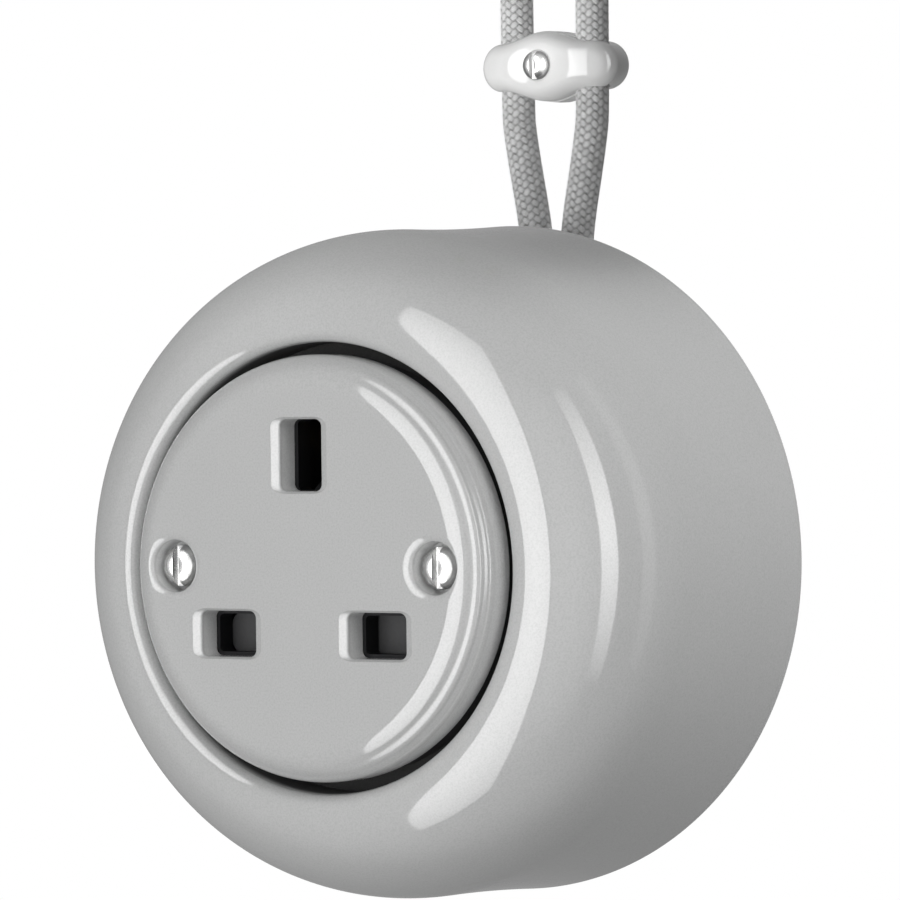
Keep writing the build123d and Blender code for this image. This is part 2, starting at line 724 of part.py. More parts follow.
low = CABLE_W + CLAMP_SPLIT / 2
with BuildPart() as boss:
    with BuildSketch(at(low)):
        with Locations((CLAMP_X, CLAMP_Z)):
            Ellipse(*CLAMP_BOSS)
    extrude(amount=CLAMP_BOSS_W - low)
    fillet(edges().group_by(Axis.Y)[0], 0.7)

with BuildPart() as dish:
    with BuildSketch(at(CLAMP_SEAT_W)):
        with Locations((CLAMP_X, CLAMP_Z)):
            Ellipse(CLAMP_SEAT, CLAMP_SEAT - 0.02)
    with BuildSketch(at(CLAMP_BOSS_W + 0.02)):
        with Locations((CLAMP_X, CLAMP_Z)):
            Ellipse(*CLAMP_DISH)
    loft()

with BuildPart() as clamp_front:
    with BuildSketch(at(low)):
        with Locations((CLAMP_X, CLAMP_Z)):
            add(clamp_outline(CLAMP_LONG))
    extrude(amount=CLAMP_FRONT_W - low)
    fillet(edges().group_by(Axis.Y)[0], CLAMP_EDGE)
    add(boss.part)
    add(dish.part, mode=Mode.SUBTRACT)
    with BuildSketch(at(-1)):
        with Locations((CLAMP_X, CLAMP_Z)):
            Circle(CLAMP_SCREW_R + 0.15)
    extrude(amount=12, mode=Mode.SUBTRACT)
    add(cable_channels(), mode=Mode.SUBTRACT)
clamp_front.part.label = "clamp_front"
export_step(clamp_front.part, "parts/clamp_front.step")

with BuildPart() as clamp_screw:
    add(slotted_head(CLAMP_X, CLAMP_Z, CLAMP_SEAT_W, CLAMP_HEAD_R, CLAMP_HEAD_T, (0.65, 0.8)))
    with BuildSketch(at(-CLAMP_SCREW_LOW)):
        with Locations((CLAMP_X, CLAMP_Z)):
            Circle(CLAMP_SCREW_R)
    extrude(amount=CLAMP_SEAT_W + CLAMP_SCREW_LOW)
    with BuildSketch(at(-CLAMP_SCREW_LOW)):
        with Locations((CLAMP_X, CLAMP_Z)):
            Circle(CLAMP_SCREW_R)
    extrude(amount=-CLAMP_POINT, taper=18)
clamp_screw.part.label = "clamp_screw"
export_step(clamp_screw.part, "parts/clamp_screw.step")
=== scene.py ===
"""Porcelain surface socket: its looks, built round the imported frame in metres.

Sizes in the classes are millimetres; the studio's lamps, floor, tent and flag are in metres.
"w" is the distance from the wall, so y = -w.
"""

import logging
import math
from dataclasses import dataclass, field
from enum import Enum
from typing import Callable, Sequence

import bmesh
import bpy
import numpy as np
from mathutils import Matrix, Vector
from mathutils.kdtree import KDTree


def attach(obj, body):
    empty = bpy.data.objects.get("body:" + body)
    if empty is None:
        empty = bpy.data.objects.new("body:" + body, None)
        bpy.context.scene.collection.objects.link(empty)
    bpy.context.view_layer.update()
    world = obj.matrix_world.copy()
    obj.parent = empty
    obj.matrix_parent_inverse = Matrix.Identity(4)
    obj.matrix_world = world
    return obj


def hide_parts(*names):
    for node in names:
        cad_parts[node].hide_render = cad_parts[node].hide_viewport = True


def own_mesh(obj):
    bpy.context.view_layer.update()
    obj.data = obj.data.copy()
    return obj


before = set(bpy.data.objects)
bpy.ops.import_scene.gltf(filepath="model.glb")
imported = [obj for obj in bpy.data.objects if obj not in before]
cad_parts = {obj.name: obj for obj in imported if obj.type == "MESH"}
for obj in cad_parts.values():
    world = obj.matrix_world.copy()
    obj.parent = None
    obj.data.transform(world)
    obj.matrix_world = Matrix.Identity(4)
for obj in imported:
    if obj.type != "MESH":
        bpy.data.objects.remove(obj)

LOG = logging.getLogger("socket")
MM = 0.001
DOUBLES = 1e-7
Pair = tuple[float, float]
Triple = tuple[float, float, float]
Quad = tuple[float, float, float, float]
Piece = bpy.types.Object
NodeSocket = bpy.types.NodeSocket
Feed = NodeSocket | float
Tint = NodeSocket | Quad


class Slot(Enum):
    """Material slots of the record."""

    PORCELAIN = "porcelain"
    WHITE = "white_porcelain"
    PLATED = "plated_screw"
    BLACK = "black_moulding"
    SHUTTER = "shutter_moulding"
    BRASS = "brass"
    SPRING = "spring_steel"
    BRAID = "cable_braid"
    LIVE = "live_insulation"
    NEUTRAL = "neutral_insulation"
    EARTH = "earth_insulation"
    COPPER = "copper"
    SLEEVE = "end_sleeve"


class Body(Enum):
    """Moving bodies of the frame."""

    SOCKET = "socket"
    SHUTTER = "shutter"


@dataclass(frozen=True)
class Lay:
    """How the two cables lie: their middle, half their distance at the clamp, place and thickness."""

    middle: float = 2.7
    apart: float = 5.87
    wall: float = 4.2
    diameter: float = 4.4


LAY = Lay()


# Modelling helpers


def pick(obj: Piece) -> None:
    """Make one object the only selected and active one.

    Args:
        obj: The object.
    """
    bpy.ops.object.select_all(action="DESELECT")
    obj.select_set(True)
    bpy.context.view_layer.objects.active = obj


def alone(op: Callable, **settings) -> Piece:
    """Add a primitive with nothing else selected.

    Args:
        op: The bpy.ops primitive.
        **settings: Its settings.

    Returns:
        The new object, active and selected.
    """
    bpy.ops.object.select_all(action="DESELECT")
    op(**settings)
    return bpy.context.object


def placed(name: str, data: bpy.types.ID) -> Piece:
    """Put new data into the scene as an object.

    Args:
        name: The object's name.
        data: A mesh, curve, camera or light.

    Returns:
        The new object.
    """
    obj = bpy.data.objects.new(name, data)
    bpy.context.scene.collection.objects.link(obj)
    return obj


def settled(obj: Piece) -> Piece:
    """Apply an object's place, turn and scale to its mesh.

    Args:
        obj: The object.

    Returns:
        The same object.
    """
    pick(obj)
    bpy.ops.object.transform_apply(location=True, rotation=True, scale=True)
    return obj


def sealed(merge: bool = False) -> Piece:
    """Close the open rings of the active mesh and point its faces outwards.

    Args:
        merge: Whether doubles are merged first.

    Returns:
        The active object, in object mode.
    """
    bpy.ops.object.mode_set(mode="EDIT")
    bpy.ops.mesh.select_all(action="SELECT")
    if merge:
        bpy.ops.mesh.remove_doubles(threshold=DOUBLES)
    bpy.ops.mesh.fill_holes(sides=0)
    bpy.ops.mesh.select_all(action="SELECT")
    bpy.ops.mesh.normals_make_consistent(inside=False)
    bpy.ops.object.mode_set(mode="OBJECT")
    return bpy.context.object


def turned(outline: Sequence[Pair], steps: int, centre: Pair = (0.0, 0.0), upright: bool = False) -> Piece:
    """Spin a section, extruded point by point, into a closed piece.

    Args:
        outline: Section points (radius, height along the axis).
        steps: Segments round the axis.
        centre: The axis in (x, z), or in (x, y) where it is upright.
        upright: Whether the axis runs along Z and not along the wall's normal.

    Returns:
        The turned object.
    """
    rise = Vector((0, 0, 1)) if upright else Vector((0, -1, 0))
    foot = Vector((centre[0], centre[1], 0) if upright else (centre[0], 0, centre[1]))
    points = [(foot + Vector((r, 0, 0)) + rise * h) * MM for r, h in outline]
    alone(bpy.ops.mesh.primitive_plane_add, size=MM)
    bpy.ops.object.mode_set(mode="EDIT")
    bpy.ops.mesh.merge(type="CENTER")
    bpy.ops.transform.translate(value=points[0])
    for a, b in zip(points, points[1:]):
        bpy.ops.mesh.extrude_region_move(TRANSFORM_OT_translate={"value": b - a})
    bpy.ops.mesh.select_all(action="SELECT")
    bpy.ops.mesh.spin(steps=steps, angle=2 * math.pi, center=foot * MM, axis=rise)
    return sealed(merge=True)


def rod(r: float, low: float, high: float, steps: int, centre: Pair, upright: bool = False) -> Piece:
    """A plain turned rod, for a cutter or a boss."""
    return turned([(0, low), (r, low), (r, high), (0, high)], steps, centre, upright)


def hoop(points: Sequence[Vector]) -> Piece:
    """Lead a circle's edges through points.

    Args:
        points: Points in millimetres.

    Returns:
        The ring of edges, left in edit mode.
    """
    obj = alone(bpy.ops.mesh.primitive_circle_add, vertices=len(points), radius=MM)
    bpy.ops.object.mode_set(mode="EDIT")
    for v, p in zip(bmesh.from_edit_mesh(obj.data).verts, points):
        v.co = p * MM
    bmesh.update_edit_mesh(obj.data)
    return obj


def lofted(rings: Sequence[Sequence[Vector]]) -> Piece:
    """Skin closed rings of equal count: a circle, extruded ring by ring, closed at both ends.

    Args:
        rings: Rings of points in millimetres.

    Returns:
        The skinned object.
    """
    mesh = hoop(rings[0]).data
    for now, then in zip(rings, rings[1:]):
        tree = KDTree(len(now))
        for i, p in enumerate(now):
            tree.insert(p * MM, i)
        tree.balance()
        bpy.ops.mesh.extrude_edges_move()
        for v in bmesh.from_edit_mesh(mesh).verts:
            if v.select:
                v.co = then[tree.find(v.co)[1]] * MM
        bmesh.update_edit_mesh(mesh)
    return sealed()


def wound(points: Sequence[Vector], pitch: float, turns: int, steps: int) -> Piece:
    """Wind a ring of edges upwards round Z with the screw modifier and close its ends.

    Args:
        points: The ring's points in millimetres.
        pitch: Rise of one turn.
        turns: Number of turns.
        steps: Segments of one turn.

    Returns:
        The wound object.
    """
    ring = hoop(points)
    bpy.ops.object.mode_set(mode="OBJECT")
    way = {"axis": "Z", "angle": 2 * math.pi, "screw_offset": pitch * MM, "use_merge_vertices": False}
    applied(ring, "SCREW", iterations=turns, steps=steps, render_steps=steps, **way)
    return sealed()


def joined(objs: Sequence[Piece]) -> Piece:
    """Join objects into the first one.

    Args:
        objs: The objects.

    Returns:
        The first one.
    """
    pick(objs[0])
    for o in objs[1:]:
        o.select_set(True)
    bpy.ops.object.join()
    return bpy.context.object


def applied(obj: Piece, kind: str, **settings) -> Piece:
    """Add a modifier, set it and apply it.

    Args:
        obj: The object to change.
        kind: The modifier's type.
        **settings: Its settings.

    Returns:
        The same object.
    """
    mod = obj.modifiers.new(kind.title(), kind)
    for key, value in settings.items():
        setattr(mod, key, value)
    pick(obj)
    bpy.ops.object.modifier_apply(modifier=mod.name)
    return obj


def carved(obj: Piece, tool: Piece, operation: str = "DIFFERENCE") -> Piece:
    """Cut an object with a tool, or join the tool to it, and drop the tool.

    Args:
        obj: The object to change.
        tool: The cutter or the added part.
        operation: What the boolean does.

    Returns:
        The changed object.
    """
    applied(obj, "BOOLEAN", object=tool, operation=operation, solver="EXACT")
    bpy.data.objects.remove(tool)
    return obj


def smoothed(obj: Piece, degrees: float, weigh: bool = False) -> Piece:
    """Shade smooth up to an angle.

    Args:
        obj: The object.
        degrees: The angle from which an edge stays sharp.
        weigh: Whether flat faces are kept flat.

    Returns:
        The same object.
    """
    pick(obj)
    bpy.ops.object.shade_smooth_by_angle(angle=math.radians(degrees))
    if weigh:
        applied(obj, "WEIGHTED_NORMAL", keep_sharp=True, weight=100)
    return obj


def arc(cx: float, cw: float, r: float, start: float, end: float, count: int) -> list[Pair]:
    """Points of a section arc; 0 degrees points away from the axis and 90 to the front."""
    turn = [math.radians(start + (end - start) * i / count) for i in range(count + 1)]
    return [(cx + r * math.cos(a), cw + r * math.sin(a)) for a in turn]


def bezier(points: Sequence[Pair], count: int) -> list[Pair]:
    """Points of a Bezier section curve.

    Args:
        points: Any number of control points.
        count: Steps along the curve.

    Returns:
        The curve's points.
    """
    n = len(points) - 1
    share = [i / count for i in range(count + 1)]
    basis = [[math.comb(n, k) * t**k * (1 - t) ** (n - k) for k in range(n + 1)] for t in share]
    return [tuple(sum(b * p[axis] for b, p in zip(row, points)) for axis in (0, 1)) for row in basis]


def soft_box(box: Quad, corner: float, w: float, grow: Pair = (0.0, 0.0), count: int = 8) -> list[Vector]:
    """A ring in the shape of a rectangle with round corners, parallel to the wall.

    Args:
        box: Middle of the rectangle across and up, its width and its height.
        corner: Radius of its corners.
        w: Distance from the wall.
        grow: How far the ring is widened across and up.
        count: Steps of each corner.

    Returns:
        The ring's points.
    """
    x, z, wide, high = box
    ring = []
    for i, (sx, sz) in enumerate(((1, 1), (-1, 1), (-1, -1), (1, -1))):
        for k in range(count + 1):
            a = math.radians(90 * i + 90 * k / count)
            px = x + sx * (wide / 2 - corner) + (corner + grow[0]) * math.cos(a)
            pz = z + sz * (high / 2 - corner) + (corner + grow[1]) * math.sin(a)
            ring.append(Vector((px, -w, pz)))
    return ring


# Materials


class Graph:
    """A short way to place and join the nodes of one tree."""

    def __init__(self, tree: bpy.types.NodeTree) -> None:
        """Hold the tree."""
        self.tree = tree

    def feed(self, node: bpy.types.Node, key: str | int, value: NodeSocket | float | Sequence[float]) -> None:
        """Link a socket to a node's input, or set the input's value.

        Args:
            node: The node.
            key: The input's name or number.
            value: The socket or the value.
        """
        if isinstance(value, NodeSocket):
            self.tree.links.new(value, node.inputs[key])
        else:
            node.inputs[key].default_value = value

    def add(self, kind: str, inputs: dict | None = None, **traits) -> bpy.types.Node:
        """Add a node, set its traits, and set or link its inputs.

        Args:
            kind: The node's type.
            inputs: Values or sockets by input name or number.
            **traits: Attributes of the node.

        Returns:
            The node.
        """
        node = self.tree.nodes.new(kind)
        for key, value in traits.items():
            setattr(node, key, value)
        for key, value in (inputs or {}).items():
            self.feed(node, key, value)
        return node

    def ramp(self, source: NodeSocket, *stops: tuple[float, float | Triple]) -> NodeSocket:
        """A colour ramp over a source.

        Args:
            source: What the ramp reads.
            *stops: Places, each with a grey or an RGB colour.

        Returns:
            The colour.
        """
        node = self.add("ShaderNodeValToRGB", {"Fac": source})
        while len(node.color_ramp.elements) < len(stops):
            node.color_ramp.elements.new(0.5)
        for element, (place, colour) in zip(node.color_ramp.elements, stops):
            element.position = place
            element.color = (*((colour,) * 3 if isinstance(colour, float) else colour), 1.0)
        return node.outputs["Color"]

    def math(self, operation: str, a: Feed, b: Feed = 0.0, c: Feed = 0.0) -> NodeSocket:
        """A math node on sockets or numbers."""
        return self.add("ShaderNodeMath", {0: a, 1: b, 2: c}, operation=operation).outputs[0]

    def times(self, product: NodeSocket, *others: Feed) -> NodeSocket:
        """The product of a socket and others.

        Args:
            product: The first factor.
            *others: The other factors.

        Returns:
            The product.
        """
        for other in others:
            product = self.math("MULTIPLY", product, other)
        return product

    def vector(self, operation: str, a: NodeSocket, b: Sequence[float] = (0.0, 0.0, 0.0)) -> bpy.types.Node:
        """A vector math node on a socket and a fixed vector."""
        return self.add("ShaderNodeVectorMath", {0: a, 1: b}, operation=operation)

    def part(self, source: NodeSocket, axis: int) -> NodeSocket:
        """One part of a vector."""
        return self.add("ShaderNodeSeparateXYZ", {0: source}).outputs[axis]

    def spread(self, source: NodeSocket, low: float, high: float) -> NodeSocket:
        """A 0 to 1 source brought to the range from low to high."""
        return self.add("ShaderNodeMapRange", {"Value": source, "To Min": low, "To Max": high}).outputs[0]

    def mask(self, source: NodeSocket, start: float, end: float, form: str = "LINEAR") -> NodeSocket:
        """A mask that grows from 0 to 1 between two values of a source."""
        ends = {"Value": source, "From Min": start, "From Max": end}
        return self.add("ShaderNodeMapRange", ends, interpolation_type=form).outputs[0]

    def mix(self, a: Tint, b: Tint, factor: Feed = 1.0, blend: str = "MIX") -> NodeSocket:
        """Two colours, mixed by a factor."""
        ends = {"Factor": factor, 6: a, 7: b}
        return self.add("ShaderNodeMix", ends, data_type="RGBA", blend_type=blend).outputs[2]

    def between(self, a: Feed, b: Feed, factor: NodeSocket) -> NodeSocket:
        """A value between two others."""
        return self.add("ShaderNodeMix", {"Factor": factor, 2: a, 3: b}, data_type="FLOAT").outputs[0]


def noise_group(name: str, scale: float, detail: float, rough: float) -> bpy.types.NodeTree:
    """A shared noise effect as a node group.

    Args:
        name: The group's name.
        scale: Waves per metre.
        detail: Octaves of the noise.
        rough: Roughness of the noise.

    Returns:
        The group, with a Vector input and a Value output.
    """
    tree = bpy.data.node_groups.new(name, "ShaderNodeTree")
    tree.interface.new_socket("Vector", in_out="INPUT", socket_type="NodeSocketVector")
    tree.interface.new_socket("Value", in_out="OUTPUT", socket_type="NodeSocketFloat")
    g = Graph(tree)
    start = g.add("NodeGroupInput")
    inputs = {"Vector": start.outputs[0], "Scale": scale, "Detail": detail, "Roughness": rough}
    noise = g.add("ShaderNodeTexNoise", inputs)
    g.add("NodeGroupOutput", {0: noise.outputs["Fac"]})
    return tree


class Paint(Graph):
    """The nodes of one material, with its shader and its Object coordinates."""

    def __init__(self, name: str) -> None:
        """Make the material.

        Args:
            name: Its name.
        """
        self.material = bpy.data.materials.new(name)
        self.material.use_nodes = True
        super().__init__(self.material.node_tree)
        self.shader = self.tree.nodes["Principled BSDF"]
        self.where = self.add("ShaderNodeTexCoord").outputs["Object"]

    def grain(self, name: str, scale: float, detail: float = 3.0, rough: float = 0.55) -> NodeSocket:
        """The output of a shared noise group, made the first time it is asked for."""
        tree = bpy.data.node_groups.get(name) or noise_group(name, scale, detail, rough)
        return self.add("ShaderNodeGroup", {"Vector": self.where}, node_tree=tree).outputs[0]

    def set(self, **inputs) -> None:
        """Set or link the shader's inputs, with _ for a space in a name."""
        for key, value in inputs.items():
            self.feed(self.shader, key.replace("_", " "), value)

    def bump(self, height: NodeSocket, distance: float, strength: float) -> None:
        """Raise the surface by a height."""
        relief = {"Height": height, "Distance": distance, "Strength": strength}
        self.set(Normal=self.add("ShaderNodeBump", relief).outputs[0])


@dataclass(frozen=True)
class Finish:
    """A finish: its name and how its shader is made."""

    name: str

    def make(self) -> bpy.types.Material:
        """Make the material and let the finish paint it.

        Returns:
            The material.
        """
        g = Paint(self.name)
        self.paint(g)
        return g.material

    def paint(self, g: Paint) -> None:
        """Fill in the shader; each finish does this its own way."""
        raise NotImplementedError


@dataclass(frozen=True)
class Glaze(Finish):
    """Glazed porcelain with fine flecks, a slightly wavy skin and, where bare, an unglazed foot, painted
    light on the disc's rim and slot mouths and painted shade in the gap round the disc.
    """

    tone: Triple
    fleck: float
    # bare also turns on the painted light and the painted shade round the disc.
    bare: bool = False
    shine: float = 0.5
    lighter: float = 0.6
    rough: Pair = (0.045, 0.085)
    clouds: Pair = (0.965, 1.0)
    waves: Pair = (0.00012, 0.22)
    clay: tuple[Triple, Triple] = ((0.5, 0.48, 0.44), (0.62, 0.6, 0.56))
    foot: Triple = (0.6, 0.4, -0.1)  # raggedness, where the glaze ends, where it is gone
    # Greys of the painted shade deep in the gap round the disc.
    painted_gap_shade: Pair = (0.012, 0.02)
    dull: float = 0.78
    # thin: how much the painted light brightens the disc's rim and the slot mouths.
    thin: float = 1.95
    gap_r: Triple = (25.5, 27.2, 29.9)  # inner end, middle of the gap, outer end
    front_w: float = 47.9
    # w where the painted shade grows on the lip's inside and on the disc's rim, then where the painted light
    # grows on the rim and the slot walls, its share on the walls and their reach.
    lip_shade: Pair = (55.3, 52.9)
    rim_shade: Pair = (53.35, 52.7)
    rim_painted_light: Pair = (57.4, 54.2)
    wall_painted_light: Pair = (59.6, 58.8)
    wall_share: float = 0.4
    wall_place: Pair = (23.5, 56.0)  # greatest radius, least w

    def paint(self, g: Paint) -> None:
        """Flecks in the body, gloss that varies a little, the bare foot, and the painted light and shade
        round the disc.

        Args:
            g: The material's nodes.
        """
        fine = g.grain("glaze flecks", 4200.0, 2.0)
        broad = g.grain("glaze clouds", 38.0)
        low = tuple(c * (1 - self.fleck) for c in self.tone)
        high = tuple(c * (1 + self.fleck * self.lighter) for c in self.tone)
        colour = g.ramp(fine, (0.34, low), (0.5, self.tone), (0.66, high))
        colour = g.mix(colour, g.ramp(broad, (0.3, self.clouds[0]), (0.7, self.clouds[1])), blend="MULTIPLY")
        gloss = g.spread(broad, *self.rough)
        if self.bare:
            depth = g.part(g.where, 1)
            ragged, start, end = (v * MM for v in self.foot)
            dry = g.mask(g.math("MULTIPLY_ADD", broad, ragged, depth), -start, -end)
            colour = g.mix(colour, g.ramp(fine, (0.3, self.clay[0]), (0.7, self.clay[1])), dry)
            # The edges' masks: pale is the painted light, inside the painted shade round the disc.
            pale, inside = self.edges(g, depth)
            # Painted light: the disc's rim and the slot mouths made paler.
            colour = g.mix(colour, g.spread(pale, 1.0, self.thin), blend="MULTIPLY")
            # Painted shade: near black deep in the gap round the disc; the line below also makes it rough
            # like the foot.
            colour = g.mix(colour, g.ramp(fine, (0.3, self.painted_gap_shade[0]), (0.7, self.painted_gap_shade[1])), inside)
            gloss = g.math("MULTIPLY_ADD", g.math("MAXIMUM", dry, inside), self.dull, gloss)
        g.set(Base_Color=colour, Roughness=gloss, Specular_IOR_Level=self.shine)
        g.bump(g.grain("glaze waves", 130.0, 1.0), *self.waves)

    def edges(self, g: Paint, depth: NodeSocket) -> tuple[NodeSocket, NodeSocket]:
        """Masks of the painted light on the disc's rim and slot mouths, and of the painted shade in the gap
        round the disc.

        Args:
            g: The material's nodes.
            depth: Y of the Object coordinates.

        Returns:
            Sockets of the painted light and of the painted shade.
        """
        rim_r, split, lip_r = (v * MM for v in self.gap_r)
        wall_r, wall_w = (v * MM for v in self.wall_place)
        far = g.vector("LENGTH", g.vector("MULTIPLY", g.where, (1, 0, 1)).outputs[0]).outputs["Value"]
        near = g.math("LESS_THAN", far, split)
        front = g.math("LESS_THAN", depth, -self.front_w * MM)

        def deep(pair: Pair) -> NodeSocket:
            """A mask that grows between two distances from the wall."""
            return g.mask(depth, -pair[0] * MM, -pair[1] * MM, "SMOOTHSTEP")

        outer = g.times(g.math("SUBTRACT", 1.0, near), g.math("LESS_THAN", far, lip_r))
        rim = g.times(near, g.math("GREATER_THAN", far, rim_r))
        wall = g.times(g.math("LESS_THAN", far, wall_r), g.math("LESS_THAN", depth, -wall_w))
        # Painted light on the slot mouths' walls and on the disc's rim.
        slots = g.times(wall, deep(self.wall_painted_light), self.wall_share)
        pale = g.math("ADD", g.times(rim, deep(self.rim_painted_light)), slots)
        # Painted shade on the lip's inside and on the disc's rim, deep in the gap round the disc.
        dark = g.math("ADD", g.times(outer, deep(self.lip_shade)), g.times(rim, deep(self.rim_shade)))
        return g.times(pale, front), g.times(dark, front)


@dataclass(frozen=True)
class Metal(Finish):
    """Plated or plain metal with fine hairlines and a little tarnish."""

    tone: Triple
    dull: Triple
    rough: Pair
    hairs: Pair = (0.00002, 0.12)

    def paint(self, g: Paint) -> None:
        """Clouded tone, hairlines in the gloss and a faint bump.

        Args:
            g: The material's nodes.
        """
        cloud = g.grain("metal clouds", 420.0)
        hair = g.grain("metal hairlines", 5200.0, 4.0)
        g.set(Base_Color=g.ramp(cloud, (0.35, self.dull), (0.6, self.tone)))
        g.set(Metallic=1.0, Roughness=g.spread(hair, *self.rough))
        g.bump(hair, *self.hairs)


@dataclass(frozen=True)
class Moulding(Finish):
    """Moulded plastic with a fine grain."""

    tone: Triple
    rough: Pair
    shine: float = 0.5
    dark: float = 0.82
    relief: Pair = (0.00004, 0.2)

    def paint(self, g: Paint) -> None:
        """A grain that shows in colour, gloss and relief.

        Args:
            g: The material's nodes.
        """
        fine = g.grain("moulding grain", 1900.0)
        low = tuple(c * self.dark for c in self.tone)
        g.set(Base_Color=g.ramp(fine, (0.3, low), (0.7, self.tone)), Specular_IOR_Level=self.shine)
        g.set(Roughness=g.spread(fine, *self.rough))
        g.bump(fine, *self.relief)


@dataclass(frozen=True)
class Striped(Finish):
    """Core insulation with a second colour on one side, mirrored between the two cables."""

    tone: Triple
    stripe: Triple
    rough: Pair
    line: Pair = (0.08, 0.16)

    def paint(self, g: Paint) -> None:
        """Two colours side by side with a worn line between them.

        Args:
            g: The material's nodes.
        """
        out = g.math("ABSOLUTE", g.math("SUBTRACT", g.part(g.where, 0), LAY.middle * MM))
        side = g.math("SUBTRACT", out, LAY.apart * MM)
        colour = g.mix((*self.tone, 1), (*self.stripe, 1), g.mask(side, *(v * MM for v in self.line)))
        g.set(Base_Color=colour, Roughness=g.spread(g.grain("moulding grain", 1900.0), *self.rough))


@dataclass(frozen=True)
class Braid(Finish):
    """Textile braid with painted shade: strands lighter on top and darker down their sides and between them,
    with yarns along each strand.
    """

    # Greys of the painted shade: between strands, on their lower sides and on their tops, and the top's share
    # at the shoulder.
    gap: float
    low: float
    top: float
    shoulder: float = 0.85
    nap: float = 1.2
    yarns: float = 4.0
    stray: float = 1.6
    lines: float = 0.15
    fuzz: float = 0.7
    shades: Pair = (0.54, 0.8)
    rough: Pair = (0.72, 0.95)
    sheen: float = 0.15
    relief: Pair = (0.00005, 0.8)

    def paint(self, g: Paint) -> None:
        """Painted shade from the strand's height, yarn lines from its own coordinates.

        Args:
            g: The material's nodes.
        """
        lift, shade = (g.add("ShaderNodeAttribute", attribute_name=n) for n in ("lift", "shade"))
        across = g.part(g.add("ShaderNodeUVMap", uv_map="yarn").outputs[0], 1)
        fuzz = g.grain("braid fuzz", 6500.0)
        phase = g.times(across, 2 * math.pi * self.yarns)
        lines = g.math("SINE", g.math("MULTIPLY_ADD", fuzz, self.stray, phase))
        # Painted shade: the lower a point on a strand, the darker it is.
        stops = ((0.2, self.gap), (0.5, self.low), (0.72, self.top * self.shoulder), (1.0, self.top))
        colour = g.ramp(lift.outputs["Fac"], *stops)
        tint = g.math("MULTIPLY_ADD", fuzz, self.fuzz, g.spread(shade.outputs["Fac"], *self.shades))
        tint = g.math("MULTIPLY_ADD", lines, self.lines, tint)
        g.set(Base_Color=g.mix(colour, tint, blend="MULTIPLY"), Sheen_Weight=self.sheen)
        g.set(Roughness=g.spread(fuzz, *self.rough))
        g.bump(g.math("MULTIPLY_ADD", fuzz, self.nap, lines), *self.relief)


FINISHES: dict[Slot, Finish] = {
    Slot.PORCELAIN: Glaze("grey glaze", (0.49, 0.493, 0.491), 0.075, bare=True),
    Slot.WHITE: Glaze("white glaze", (0.87, 0.87, 0.865), 0.01, shine=0.44),
    Slot.PLATED: Metal("bright nickel", (0.56, 0.56, 0.555), (0.44, 0.44, 0.44), (0.18, 0.32)),
    Slot.BLACK: Moulding("black moulding", (0.01, 0.01, 0.011), (0.35, 0.5), 0.1),
    Slot.SHUTTER: Moulding("shutter moulding", (0.03, 0.03, 0.031), (0.45, 0.6), 0.2),
    Slot.BRASS: Metal("brass", (0.72, 0.5, 0.2), (0.5, 0.33, 0.12), (0.2, 0.38)),
    Slot.SPRING: Metal("spring wire", (0.6, 0.6, 0.6), (0.42, 0.42, 0.42), (0.2, 0.35)),
    Slot.BRAID: Braid("grey braid", 0.1, 0.33, 0.74),
    Slot.LIVE: Moulding("brown insulation", (0.13, 0.05, 0.02), (0.3, 0.42)),
    Slot.NEUTRAL: Moulding("blue insulation", (0.02, 0.12, 0.4), (0.3, 0.42)),
    Slot.EARTH: Striped("green and yellow insulation", (0.03, 0.26, 0.05), (0.72, 0.56, 0.03), (0.3, 0.42)),
    Slot.COPPER: Metal("copper", (0.86, 0.47, 0.3), (0.6, 0.3, 0.18), (0.22, 0.4)),
    Slot.SLEEVE: Moulding("end sleeve", (0.014, 0.014, 0.015), (0.42, 0.6)),
}


@dataclass
class Wardrobe:
    """Makes each finish once and dresses pieces and frame nodes."""

    made: dict[Slot, bpy.types.Material] = field(default_factory=dict)

    def paint(self, obj: Piece, slot: Slot) -> None:
        """Give an object the material of a slot, made at first use.

        Args:
            obj: The piece or frame node.
            slot: Its finish.
        """
        if slot not in self.made:
            self.made[slot] = FINISHES[slot].make()
        obj.data.materials.clear()
        obj.data.materials.append(self.made[slot])

    def dress(self, obj: Piece, name: str, slot: Slot, *nodes: str, body: Body = Body.SOCKET) -> None:
        """Name a finished piece, paint it and tie it to the frame.

        Args:
            obj: The piece, in place.
            name: Its name.
            slot: Its finish.
            *nodes: Frame nodes that it stands for.
            body: The body that it moves with.
        """
        settled(obj)
        obj.name = obj.data.name = name
        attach(obj, body.value)
        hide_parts(*nodes)
        self.paint(obj, slot)
        LOG.info("%s: %d faces", name, len(obj.data.polygons))

    def dress_nodes(self, slot: Slot, *names: str) -> None:
        """Give frame nodes that stay in view a finish.

        Args:
            slot: The finish.
            *names: The nodes.
        """
        for name in names:
            self.paint(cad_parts[name], slot)
            LOG.info("%s: frame node, %s", name, slot.value)


# Sub-assemblies


